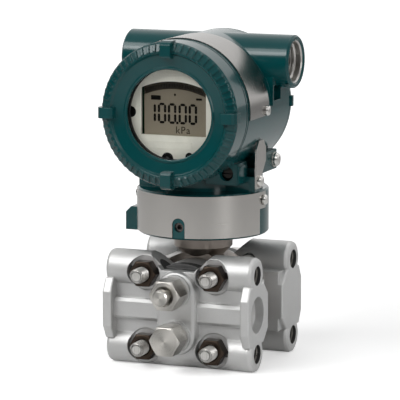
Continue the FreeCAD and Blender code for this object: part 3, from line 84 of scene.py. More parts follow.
def linear(red, green, blue):
    """A colour written from 0 to 255 as the linear colour that a shader takes."""
    shares = (red / 255, green / 255, blue / 255)
    return tuple(s / 12.92 if s <= 0.04045 else ((s + 0.055) / 1.055) ** 2.4 for s in shares)


def colour(name, description, red, green, blue):
    """A colour property with its default written from 0 to 255."""
    return FloatVectorProperty(name=name, description=description, subtype="COLOR", size=3,
                               min=0, max=1, default=linear(red, green, blue))


def length(name, description, millimetres):
    """A length property with its default written in millimetres."""
    return FloatProperty(name=name, description=description, unit="LENGTH", precision=5,
                         default=millimetres * MM)


# ----------------------------------------------------------------------------------------- settings

class StageSettings(bpy.types.PropertyGroup):
    """Camera, lamps and floor."""

    azimuth: FloatProperty(name="Azimuth", description="Camera's turn to the right of the front",
                           subtype="ANGLE", default=math.radians(21.8))
    elevation: FloatProperty(name="Elevation", description="Camera's height above the horizon",
                             subtype="ANGLE", default=math.radians(8.5))
    distance: length("Distance", "From the camera to the middle of the part", 1466.5)
    lens: FloatProperty(name="Lens", description="Focal length in millimetres", default=249.9)
    middle: length("Middle", "Height of the point that the camera circles", 100)
    aim_right: length("Aim right", "How far the view's centre lies to the right", -1.8)
    aim_up: length("Aim up", "How far the view's centre lies above the middle", -15.6)
    sky: FloatProperty(name="Sky", description="Strength of the even light", default=0.2)
    front: FloatProperty(name="Front", description="Strength of the room that gloss reflects",
                         default=0.05)
    backdrop: FloatProperty(name="Backdrop", description="Strength of the backdrop in gloss",
                            default=0.95)
    ceiling: FloatProperty(name="Ceiling", description="Strength of the ceiling in gloss",
                           default=0.55)
    beam: FloatProperty(name="Beam", description="Width of every lamp's beam", subtype="ANGLE",
                        default=math.radians(55))
    floor: colour("Floor", "Colour of the floor", 238, 238, 238)
    floor_glow: FloatProperty(name="Floor glow", description="Lift of the floor to white",
                              default=0.4)


class FinishSettings(bpy.types.PropertyGroup):
    """Colours of the finishes."""

    paint: colour("Paint", "Housing paint", 0, 62, 64)
    cast: colour("Cast steel", "Blasted castings", 202, 202, 201)
    machined: colour("Machined steel", "Turned and milled steel", 205, 202, 196)
    nut: colour("Nut steel", "Oiled nuts", 66, 57, 50)
    band: colour("Band steel", "Brushed bands", 190, 187, 183)
    bezel: colour("Bezel", "Indicator face plate", 238, 237, 224)
    screen: colour("Screen", "Liquid crystal background", 134, 126, 110)
    ink: colour("Ink", "Liquid crystal characters", 12, 10, 9)


class DetailSettings(bpy.types.PropertyGroup):
    """Sizes of the modelled details."""

    conduit_pitch: length("Conduit pitch", "Pitch of the conduit threads", 1.81)
    conduit_tooth: length("Conduit tooth", "Depth of the conduit threads", 1.0)
    hole_pitch: length("Hole pitch", "Pitch of the flange hole threads", 1.27)
    hole_tooth: length("Hole tooth", "Depth of the flange hole threads", 0.7)
    stud_radius: length("Stud radius", "Outer radius of the stud threads", 3.95)
    stud_pitch: length("Stud pitch", "Pitch of the stud threads", 1.25)
    stud_tooth: length("Stud tooth", "Depth of the stud threads", 0.45)
    stud_tip: length("Stud tip", "Rounding of the stud ends", 1.3)
    steps: IntProperty(name="Steps", description="Faces round one turn of a thread", default=48)
    reading: StringProperty(name="Reading", description="Value on the screen, of 0, 1 and a point",
                            default="100.00")
    unit: StringProperty(name="Unit", description="Unit under the reading", default="kPa")
    unit_size: length("Unit size", "Type size of the unit", 5.2)
    digit_width: length("Digit width", "Between the middles of a digit's upright segments", 3.4)
    digit_height: length("Digit height", "From a digit's bottom segment to its top one", 9.4)
    stroke: length("Stroke", "Width of a character's segment", 1.3)
    ink_height: length("Ink height", "How far the characters stand proud of the screen", 0.05)


# -------------------------------------------------------------------------------------- shader sums

class Value:
    """A socket that takes part in Python sums, each of which adds a Math node."""

    def __init__(self, shading, socket):
        self.shading = shading
        self.socket = socket

    def math(self, operation, *terms):
        """What a Math node makes of these terms."""
        return self.shading.node("Math", "Value", {"operation": operation},
                                 dict(enumerate(terms)))

    def __add__(self, other):
        return self.math("ADD", self, other)

    def __sub__(self, other):
        return self.math("SUBTRACT", self, other)

    def __rsub__(self, other):
        return self.math("SUBTRACT", other, self)

    def __mul__(self, other):
        return self.math("MULTIPLY", self, other)

    def __truediv__(self, other):
        return self.math("DIVIDE", self, other)

    def __pow__(self, other):
        return self.math("POWER", self, other)

    def __lt__(self, other):
        return self.math("LESS_THAN", self, other)

    def __gt__(self, other):
        return self.math("GREATER_THAN", self, other)

    def __abs__(self):
        return self.math("ABSOLUTE", self)

    def maximum(self, other):
        """The larger of two values."""
        return self.math("MAXIMUM", self, other)

    __radd__ = __add__
    __rmul__ = __mul__


class Shading:
    """A node tree under construction, with its coordinates at hand."""

    def __init__(self, owner, shader, coordinates):
        owner.use_nodes = True
        self.tree = owner.node_tree
        self.shader = self.tree.nodes[shader]
        self.place = self.node("TexCoord", coordinates)
        parts = self.node("SeparateXYZ", "X", None, {"Vector": self.place}).socket.node
        self.x, self.y, self.z = (Value(self, parts.outputs[axis]) for axis in "XYZ")

    def set(self, sockets):
        """Gives the shader's sockets their values or links."""
        for key, value in sockets.items():
            self.feed(self.shader.inputs[key], value)

    def feed(self, socket, value):
        """Links or sets one socket."""
        if isinstance(value, Value):
            self.tree.links.new(value.socket, socket)
        else:
            socket.default_value = value

    def node(self, kind, output, settings=None, sockets=None):
        """A node of that kind, its settings set first, and one of its outputs."""
        made = self.tree.nodes.new("ShaderNode" + kind)
        for key, value in (settings or {}).items():
            setattr(made, key, value)
        for key, value in (sockets or {}).items():
            self.feed(made.inputs[key], value)
        return Value(self, made.outputs[output])

    def rising(self, value, start, end):
        """A smooth rise from 0 to 1 as a value goes from start to end."""
        return self.node("MapRange", "Result", {"interpolation_type": "SMOOTHSTEP"},
                         {"Value": value, "From Min": start, "From Max": end})


class Finish(Shading):
    """A material under construction, on Object coordinates."""

    def __init__(self, name, **constants):
        self.material = bpy.data.materials.new(name)
        super().__init__(self.material, "Principled BSDF", "Object")
        self.set(constants)

    def noise(self, scale, detail=2.0, stretch=(1, 1, 1)):
        """Noise from 0 to 1, so many lumps to the metre, stretched along the axes."""
        spot = self.node("Mapping", "Vector", None, {"Vector": self.place, "Scale": stretch})
        return self.node("TexNoise", "Fac", None,
                         {"Vector": spot, "Scale": scale, "Detail": detail})

    def rings(self, distance, scale):
        """Noise that changes with one distance only, as turning marks do."""
        return self.node("TexNoise", "Fac", {"noise_dimensions": "1D"},
                         {"W": distance * scale, "Scale": 1.0, "Detail": 3.0})

    def reach(self, first, second, middle=(0, 0)):
        """Distance from an axis, from two coordinates."""
        return ((first - middle[0]) ** 2 + (second - middle[1]) ** 2) ** 0.5

    def blend(self, share, first, second):
        """One colour turning into another."""
        return self.node("Mix", 2, {"data_type": "RGBA"}, {0: share, 6: first, 7: second})

    def softened(self, radius):
        """The normal with its edges rounded by a radius."""
        return self.node("Bevel", "Normal", {"samples": 4}, {"Radius": radius})

    def relief(self, height, depth, normal):
        """The normal over a relief of that depth."""
        return self.node("Bump", "Normal", None,
                         {"Height": height, "Distance": depth, "Normal": normal})


def shade(base, share):
    """A colour made darker or paler by a share, as a shader's four numbers."""
    return tuple(min(1.0, part * share) for part in base) + (1.0,)


# ----------------------------------------------------------------------------------------- finishes

def mount_box(word):
    """The box round the mounts whose names hold a word."""
    spots = [Vector(mount["pos_m"]) for mount in MOUNTS if word in mount["name"]]
    return Vector(map(min, *spots)), Vector(map(max, *spots))


def arch_height():
    """How high the middle of the scale's arch lies."""
    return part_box("indicator_screen")[1].z - ARCH_DROP


def paint_finish(base, name="Housing paint", edge=0.45):
    """Glossy paint with a light orange peel, and bare metal in the conduit mouths."""
    finish = Finish(name, **{"Specular IOR Level": 0.3, "Coat Roughness": 0.05})
    low, high = mount_box("conduit")
    bore = finish.reach(finish.y, finish.z, ((low.y + high.y) / 2, (low.z + high.z) / 2))
    bare = (bore < BARE_RADIUS) * (abs(finish.x) > BARE_START)
    cloud = finish.noise(55)
    haze = finish.noise(140)
    peel = finish.noise(900, 1.0)
    painted = finish.blend(cloud, shade(base, 0.9), shade(base, 1.12))
    finish.set({
        "Base Color": finish.blend(bare, painted, shade(linear(196, 194, 190), 1)),
        "Metallic": bare,
        "Roughness": 0.15 + 0.07 * haze + 0.12 * bare,
        "Coat Weight": 0.22 - 0.22 * bare,
        "Normal": finish.relief(peel, 0.02 * MM, finish.softened(edge * MM)),
    })
    return finish.material


def cast_finish(base):
    """Blasted cast steel: a fine grain, broad unevenness, milled ends, and painted shade that
    darkens the flange holes' walls.
    """
    finish = Finish("Cast steel", Metallic=0.9)
    milled = abs(finish.x) > MILLED_START
    low, high = mount_box("flange_hole")
    centre = (low + high) / 2
    bore = finish.reach(abs(finish.y - centre.y), abs(finish.z - centre.z),
                        ((high.y - low.y) / 2, (high.z - low.z) / 2))
    hole_shade = (bore < HOLE_SHADE_RADIUS) * (1 - milled)
    grain = finish.noise(2600, 3.0)
    lumps = finish.noise(170, 3.0)
    cloud = finish.noise(38, 4.0)
    mottled = finish.blend(cloud * 0.6 + grain * 0.4, shade(base, 0.8), shade(base, 1.15))
    height = (grain * 0.5 + lumps * 1.3) * (1 - 0.8 * milled)
    finish.set({
        # The flange holes' walls go almost black: painted shade inside the holes
        "Base Color": finish.blend(hole_shade * 0.85, mottled, shade(base, 0.04)),
        "Roughness": 0.46 + 0.16 * grain - 0.14 * milled,
        "Normal": finish.relief(height, 0.09 * MM, finish.softened(0.7 * MM)),
    })
    return finish.material


def turned_finish(name, base, axis="z", middle=(0, 0), marks=1.0, painted_sheen=0.0):
    """Machined steel with turning marks round one axis, and painted highlights in four sectors of
    the colour.
    """
    finish = Finish(name, Metallic=1.0)
    first, second = {"y": (finish.x, finish.z), "z": (finish.x, finish.y)}[axis]
    reach = finish.reach(first, second, middle)
    rings = finish.rings(reach, 5200)
    cloud = finish.noise(90, 3.0)
    # Twice the product over the square is the sine of twice the angle, so it has four sectors; they
    # are painted highlight, lighter and darker colour standing in for the turning marks' glints
    painted_sheen_wedges = (first - middle[0]) * (second - middle[1]) * 2.0 / reach ** 2
    # Random tone, blended with the painted highlight sectors
    spread = cloud * (1 - painted_sheen) + (0.5 + 0.5 * painted_sheen_wedges) * painted_sheen
    finish.set({
        "Base Color": finish.blend(spread, shade(base, 0.86 - 0.3 * painted_sheen), shade(base, 1.1)),
        "Roughness": 0.2 + 0.12 * rings + 0.08 * cloud,
        "Normal": finish.relief(rings, 0.012 * marks * MM, finish.softened(0.25 * MM)),
    })
    return finish.material


def brushed_finish(name, base, stretch):
    """Brushed sheet steel, the grain running where the stretch is small."""
    finish = Finish(name, Metallic=1.0)
    grain = finish.noise(1.0, 4.0, stretch)
    cloud = finish.noise(45, 3.0)
    finish.set({
        "Base Color": finish.blend(cloud * 0.6 + grain * 0.4, shade(base, 0.85), shade(base, 1.1)),
        "Roughness": 0.19 + 0.07 * grain + 0.06 * cloud,
        "Normal": finish.relief(grain, 0.004 * MM, finish.softened(0.15 * MM)),
    })
    return finish.material


def plain_finish(name, base, roughness, grain, depth, edge, metallic=0.0, gloss=0.5):
    """An even finish, its grain in lumps to the metre, its depth and edges in millimetres."""
    finish = Finish(name, Metallic=metallic, **{"Specular IOR Level": gloss})
    fine = finish.noise(grain, 3.0)
    cloud = finish.noise(grain / 12, 2.0)
    finish.set({
        "Base Color": finish.blend(cloud * 0.6 + fine * 0.4, shade(base, 0.84), shade(base, 1.14)),
        "Roughness": roughness - 0.06 + 0.12 * fine,
        "Normal": finish.relief(fine, depth * MM, finish.softened(edge * MM)),
    })
    return finish.material


def glass_finish():
    """Clear flat glass, clearest head-on, with a trace of wiping marks."""
    finish = Finish("Window glass", Metallic=1.0, **{"Base Color": (0.92, 0.96, 0.95, 1.0)})
    gloss = finish.node("LayerWeight", "Fresnel", None, {"Blend": 0.35})
    marks = finish.noise(60, 3.0, (1, 1, 0.3))
    finish.set({"Alpha": 0.5 * gloss ** 2, "Roughness": 0.02 + 0.05 * marks})
    return finish.material


def screen_finish(base):
    """The screen's backing, dark behind the arched scale above the reading, and darker towards its
    top with painted shade.
    """
    finish = Finish("Screen backing", **{"Specular IOR Level": 0.1})
    low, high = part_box("indicator_screen")
    scale = finish.reach(finish.x, finish.z, (0, arch_height())) > ARCH_START
    # Painted shade: the backing grows darker from its bottom to its top
    painted_top_shade = (finish.z - low.z) / (high.z - low.z)
    pale = finish.blend(painted_top_shade, shade(base, 1.12), shade(base, 0.84))
    finish.set({
        "Base Color": finish.blend(scale * 0.86, pale, shade(base, 0.06)),
        "Roughness": 0.34 + 0.08 * finish.noise(2600, 2.0),
    })
    return finish.material


# ------------------------------------------------------------------------------------------ shaping

def select(*pieces):
    """Selects these pieces alone, the first of them active."""
    bpy.ops.object.select_all(action="DESELECT")
    for piece in pieces:
        piece.select_set(True)
    bpy.context.view_layer.objects.active = pieces[0]


def primitive(kind, name, **place):
    """One of Blender's primitives, its place and size put in its mesh."""
    bpy.ops.object.select_all(action="DESELECT")
    getattr(bpy.ops.mesh, f"primitive_{kind}_add")(**place)
    piece = bpy.context.active_object
    piece.name = name
    piece.data.name = name
    bpy.ops.object.transform_apply(location=True, rotation=True, scale=True)
    return piece


def rectangle(name, width, height):
    """A flat rectangle round the origin, facing up."""
    piece = primitive("plane", name, size=1)
    piece.data.transform(Matrix.Diagonal((width, height, 1, 1)))
    return piece


def edited(piece, *steps):
    """Runs steps in edit mode, each an operator and its settings."""
    select(piece)
    bpy.ops.object.mode_set(mode="EDIT")
    for operator, settings in steps:
        operator(**settings)
    bpy.ops.object.mode_set(mode="OBJECT")
    return piece


def select_edges(piece, test):
    """Selects the edges of a piece that have both ends where a test holds."""
    edited(piece, (bpy.ops.mesh.select_mode, {"type": "EDGE"}),
           (bpy.ops.mesh.select_all, {"action": "DESELECT"}))
    for edge in piece.data.edges:
        edge.select = all(test(piece.data.vertices[index].co) for index in edge.vertices)


def modified(piece, kind, **settings):
    """Adds a modifier and applies it."""
    select(piece)
    modifier = piece.modifiers.new(kind.title(), kind)
    for key, value in settings.items():
        setattr(modifier, key, value)
    bpy.ops.object.modifier_apply(modifier=modifier.name)
    return piece


def copied(piece, name, matrix):
    """A copy with its own mesh, moved by a matrix."""
    twin = piece.copy()
    twin.data = piece.data.copy()
    twin.name = name
    twin.data.name = name
    bpy.context.scene.collection.objects.link(twin)
    twin.data.transform(matrix)
    return twin


def removed(*pieces):
    """Takes away the pieces that only served as patterns."""
    for piece in pieces:
        bpy.data.objects.remove(piece)


def joined(pieces, name):
    """Joins pieces into one, with smooth shading up to a crease."""
    select(*pieces)
    if len(pieces) > 1:
        bpy.ops.object.join()
    whole = bpy.context.active_object
    whole.name = name
    whole.data.name = name
    bpy.ops.object.shade_smooth_by_angle(angle=CREASE)
    return whole


def dressed(piece, body, material):
    """Gives a piece its body and its finish."""
    piece.data.materials.clear()
    piece.data.materials.append(material)
    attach(piece, body)
    return piece


def toward(axis, at):
    """The matrix that lays local Z along an axis, at a point."""
    return Matrix.Translation(at) @ Vector(axis).to_track_quat("Z", "Y").to_matrix().to_4x4()


def thread(name, root, tooth, pitch, turns, steps):
    """A closed helical thread along +Z from the origin; a tooth below 0 points inwards."""
    crest = root + tooth
    sunk = math.copysign(0.1 * MM, tooth)  # how far the ridge's back lies inside its wall
    base = root - sunk
    ridge = primitive("circle", name, vertices=6, radius=pitch, rotation=(math.pi / 2, 0, 0))
    # Each corner of the ridge's section: its radius, and its height in pitches
    section = ((base, 0), (base, 1), (root, 1), (crest, 0.6), (crest, 0.4), (root, 0))
    for vertex, (radius, share) in zip(ridge.data.vertices, section):
        vertex.co = (radius, 0, share * pitch)
    modified(ridge, "SCREW", axis="Z", angle=math.tau, screw_offset=pitch, iterations=turns,
             steps=steps, render_steps=steps)
    return edited(ridge, ALL, (bpy.ops.mesh.fill_holes, {"sides": 0}), ALL, OUTWARDS)


def outlined(piece, width, thickness, at, rounding=0.08 * MM):
    """Makes a flat piece a raised line along its border, upright at a point."""
    edited(piece, ALL, (bpy.ops.mesh.inset, {"thickness": width}),
           (bpy.ops.mesh.delete, {"type": "FACE"}))
    modified(piece, "SOLIDIFY", thickness=thickness, offset=0)
    modified(piece, "BEVEL", width=rounding, segments=2, limit_method="ANGLE")
    piece.data.transform(Matrix.Translation(at) @ UPRIGHT)
    return piece


# ---------------------------------------------------------------------------------------- operators

class TRANSMITTER_OT_stage(bpy.types.Operator):
    """Makes the camera, the lamps, the room and the floor"""

    bl_idname = "transmitter.stage"
    bl_label = "Stage"

    # Each lamp's name, place, width and height, and how light it makes what faces it
    LAMPS = (
        ("Key lamp", (-1.15, -1.1, 1.45), (1.1, 1.1), 0.4),
        ("Side lamp", (1.6, -0.9, 0.75), (0.5, 1.5), 0.34),
        ("Top lamp", (0.1, 0.5, 1.9), (1.3, 1.3), 0.25),
        ("Front lamp", (-0.45, -1.55, 1.3), (0.9, 0.5), 0.24),
    )
    FLOOR_SIZE = 14
    FAR_GLOW = 0.6  # what the floor's glow gains far from the part

    def placed(self, name, data):
        """A new object that holds some data, in the scene."""
        holder = bpy.data.objects.new(name, data)
        bpy.context.scene.collection.objects.link(holder)
        return holder

    def camera(self, settings):
        """The camera, on a circle round the part's middle."""
        azimuth, elevation = settings.azimuth, settings.elevation
        back = Vector((math.sin(azimuth) * math.cos(elevation),
                       -math.cos(azimuth) * math.cos(elevation), math.sin(elevation)))
        turn = (-back).to_track_quat("-Z", "Y")
        middle = Vector((0, 0, settings.middle))
        aim = middle + turn @ Vector((settings.aim_right, settings.aim_up, 0))
        eye = middle + back * settings.distance
        view = bpy.data.cameras.new("View")
        view.lens = settings.lens
        camera = self.placed("View", view)
        camera.location = eye
        camera.rotation_mode = "QUATERNION"
        camera.rotation_quaternion = (aim - eye).to_track_quat("-Z", "Y")
        return camera

    def lamp(self, beam, name, at, size, level):
        """A soft area lamp that lights a surface facing it to a level."""
        lamp = bpy.data.lights.new(name, "AREA")
        lamp.shape = "RECTANGLE"
        lamp.size, lamp.size_y = size
        lamp.spread = beam
        narrowing = (1 - beam / 2 / math.tan(beam / 2)) * math.pi / 2
        lamp.energy = math.pi ** 2 * Vector(at).length_squared * level * narrowing
        self.placed(name, lamp).matrix_world = toward(at, at)

    def room(self, settings):
        """Even light; the camera sees white, and gloss a dark front and a pale backdrop."""
        world = bpy.data.worlds.new("Room")
        room = Shading(world, "Background", "Generated")
        outputs = room.node("LightPath", "Is Camera Ray").socket.node.outputs
        camera, through, gloss = (Value(room, outputs[f"Is {kind} Ray"])
                                  for kind in ("Camera", "Transmission", "Glossy"))
        seen = camera.maximum(through)
        backdrop = room.rising(room.y, start=-0.15, end=0.6) * settings.backdrop
        ceiling = room.rising(room.z, start=0.05, end=0.9) * settings.ceiling
        reflected = (settings.front + backdrop).maximum(ceiling)
        unseen = gloss * reflected + (1 - gloss) * settings.sky
        room.set({"Color": seen + (1 - seen) * unseen, "Strength": 1.0})
        return world

    def floor(self, settings):
        """A wide plain floor that keeps the part's soft shadow."""
        floor = primitive("plane", "Floor", size=self.FLOOR_SIZE)
        finish = Finish("Floor", Roughness=0.85)
        grain = finish.noise(9, 2.0)
        camera = finish.node("LightPath", "Is Camera Ray")
        far = finish.rising(finish.reach(finish.x, finish.y), start=0.15, end=1.1)
        dim, bright = shade(settings.floor, 0.99), shade(settings.floor, 1.01)
        finish.set({
            "Base Color": finish.blend(grain, dim, bright),
            "Emission Color": camera * (settings.floor_glow + self.FAR_GLOW * far),
            "Emission Strength": 1.0,
        })
        finish.material.cycles.emission_sampling = "NONE"  # only the camera sees the glow
        floor.data.materials.append(finish.material)

    def execute(self, context):
        settings = context.scene.transmitter_stage
        context.scene.camera = self.camera(settings)
        for lamp in self.LAMPS:
            self.lamp(settings.beam, *lamp)
        context.scene.view_settings.view_transform = "Standard"
        context.scene.world = self.room(settings)
        self.floor(settings)
        return {"FINISHED"}


class TRANSMITTER_OT_finishes(bpy.types.Operator):
    """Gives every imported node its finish"""

    bl_idname = "transmitter.finishes"
    bl_label = "Finishes"

    def by_slot(self, colours):
        """The finish of each slot."""
        return {
            "teal_paint": paint_finish(colours.paint),
            "cast_stainless": cast_finish(colours.cast),
            "machined_stainless": turned_finish("Machined steel", colours.machined),
            "dark_nut_steel": plain_finish("Oiled steel", colours.nut, roughness=0.36, grain=700,
                                           depth=0.03, edge=0.35, metallic=1.0),
            "band_stainless": brushed_finish("Neck band steel", colours.band, (14, 14, 1500)),
            "screw_chrome": plain_finish("Bright screws", linear(214, 212, 208), roughness=0.22,
                                         grain=1200, depth=0.008, edge=0.18, metallic=1.0),
            "seal_rubber": plain_finish("Seal rubber", linear(26, 26, 27), roughness=0.6,
                                        grain=1500, depth=0.02, edge=0.1),
            "ptfe": plain_finish("Gasket", linear(232, 230, 224), roughness=0.48,
                                 grain=900, depth=0.01, edge=0.1),
            "window_glass": glass_finish(),
            "bezel_plastic": plain_finish("Bezel plastic", colours.bezel, roughness=0.46,
                                          grain=1800, depth=0.012, edge=0.2),
            "screen": screen_finish(colours.screen),
            "board": plain_finish("Circuit board", linear(20, 74, 48), roughness=0.42,
                                  grain=500, depth=0.03, edge=0.05),
            "shield_tin": plain_finish("Tinned shield", linear(186, 184, 176), roughness=0.34,
                                       grain=160, depth=0.03, edge=0.2, metallic=1.0),
            "post_brass": plain_finish("Brass posts", linear(196, 166, 98), roughness=0.3,
                                       grain=900, depth=0.01, edge=0.15, metallic=1.0),
            "block_plastic": plain_finish("Terminal block", linear(34, 35, 38), roughness=0.44,
                                          grain=1500, depth=0.02, edge=0.25),
            "cable_film": plain_finish("Film cable", linear(168, 104, 44), roughness=0.32,
                                       grain=60, depth=0.02, edge=0.1),
        }

    def by_node(self, colours):
        """The finishes of the nodes that don't take their slot's."""
        steel = colours.machined
        axes = {}
        for plug in ("vent_plug", "drain_plug"):
            low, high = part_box("front_" + plug)
            axes[plug] = (0, (low.z + high.z) / 2)
        finishes = {
            # The capsule's steel is darker than the machined steel: painted shade for the collar's
            # shadow over it
            "capsule_body": turned_finish("Capsule steel with painted shade", linear(138, 130, 123)),
            "tag_band": brushed_finish("Tag band steel", shade(colours.band, 0.7)[:3],
                                       (14, 1500, 14)),
            "display_cover_ring": paint_finish(colours.paint, "Cover paint", 0.8),
            "indicator_screws": plain_finish("Black screws", linear(14, 14, 15), roughness=0.4,
                                             grain=1200, depth=0.008, edge=0.15, gloss=0.25),
            "zero_adjust_screw": plain_finish("Dark screw", linear(48, 46, 44), roughness=0.3,
                                              grain=1200, depth=0.008, edge=0.15, metallic=1.0),
            "neck_lock_screw": plain_finish("Set screw", linear(96, 92, 90), roughness=0.25,
                                            grain=1200, depth=0.008, edge=0.15, metallic=1.0),
        }
        # The plugs and the vent stem get painted highlight: lighter and darker sectors painted into
        # their colour round their axes
        plugs = {
            "vent_plug": turned_finish("Vent plug steel with painted highlight", steel, "y", axes["vent_plug"],
                                       marks=4.0, painted_sheen=0.9),
            "drain_plug": turned_finish("Drain plug steel with painted highlight", steel, "y", axes["drain_plug"],
                                        marks=4.0, painted_sheen=0.9),
            "vent_stem": turned_finish("Vent stem steel with painted highlight", steel, "y", axes["vent_plug"],
                                       marks=2.0, painted_sheen=0.9),
        }
        for name, finish in plugs.items():
            finishes["front_" + name] = finishes["rear_" + name] = finish
        return finishes

    def execute(self, context):
        colours = context.scene.transmitter_finishes
        by_slot, by_node = self.by_slot(colours), self.by_node(colours)
        for name, node in NODES.items():
            for slot in node.material_slots:
                slot.material = by_node.get(name) or by_slot[slot.material.name]
        return {"FINISHED"}


class TRANSMITTER_OT_bore_threads(bpy.types.Operator):
    """Lines both conduits and the eight flange holes with threads"""

    bl_idname = "transmitter.bore_threads"
    bl_label = "Bore threads"

    GAP = 0.04 * MM  # between a thread's root and the wall that it lines
    SPARE = 1.5  # turns left out at the inner end

    def execute(self, context):
        sizes = context.scene.transmitter_details
        bare = turned_finish("Cut thread steel", linear(200, 198, 194), marks=0.4)
        # The flange holes' threads are darker than the conduits': painted shade inside the holes
        shaded_thread = turned_finish("Thread steel with painted shade", linear(118, 115, 110), marks=0.4)
        kinds = {
            "conduit": (sizes.conduit_pitch, sizes.conduit_tooth, "housing", "teal_paint", bare),
            "flange_hole": (sizes.hole_pitch, sizes.hole_tooth, "detector", "cast_stainless",
                            shaded_thread),
        }
        for kind, (pitch, tooth, body, slot, steel) in kinds.items():
            for mount in MOUNTS:
                if not mount["name"].startswith(kind):
                    continue
                radius = mount["dims"]["r_mm"] * MM - self.GAP
                deep = mount["dims"]["length_mm"] * MM
                turns = int(deep / pitch - self.SPARE)
                name = mount["name"] + "_thread"
                cut = thread(name, radius, -tooth, pitch, turns, sizes.steps)
                axis, middle = Vector(mount["axis"]), Vector(mount["pos_m"])
                out = axis if axis.x * middle.x > 0 else -axis
                cut.data.transform(toward(-out, middle + out * (deep / 2 - pitch)))
                dressed(joined([cut], name), body, steel)
        return {"FINISHED"}


class TRANSMITTER_OT_studs(bpy.types.Operator):
    """Replaces the plain studs by rods with rounded, threaded ends"""

    bl_idname = "transmitter.studs"
    bl_label = "Cover studs"

    SIDES = 64

    def execute(self, context):
        sizes = context.scene.transmitter_details
        low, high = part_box("cover_studs")
        radius, tip, pitch = sizes.stud_radius, sizes.stud_tip, sizes.stud_pitch
        root = radius - sizes.stud_tooth
        seat = -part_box("front_cover_nuts")[1].y
        rod = primitive("cylinder", "rod", vertices=self.SIDES, radius=root,
                        depth=high.y - low.y)
        select_edges(rod, lambda end: abs(end.z) > high.y - tip)
        edited(rod, (bpy.ops.mesh.bevel, {"offset": tip, "segments": 6, "profile": 0.6}))
        shank = primitive("cylinder", "shank", vertices=self.SIDES, radius=radius,
                          depth=2 * seat)
        start = seat - pitch
        turns = int((high.y - tip - start) / pitch)
        upper = thread("upper", root, sizes.stud_tooth, pitch, turns, sizes.steps)
        upper.data.transform(Matrix.Translation((0, 0, start)))
        lower = copied(upper, "lower", Matrix.Rotation(math.pi, 4, "X"))
        stud = joined([rod, shank, upper, lower], "stud")
        across, up = high.x - radius, (high.z - low.z) / 2 - radius
        middle = (high.z + low.z) / 2
        studs = [
            copied(stud, "stud_copy", toward((0, 1, 0), (x, 0, middle + z)))
            for x in (-across, across) for z in (-up, up)
        ]
        removed(stud)
        steel = turned_finish("Stud steel", linear(206, 204, 200), marks=0.3)
        whole = dressed(joined(studs, "threaded_studs"), "detector", steel)
        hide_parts("cover_studs")
        return {"FINISHED"}


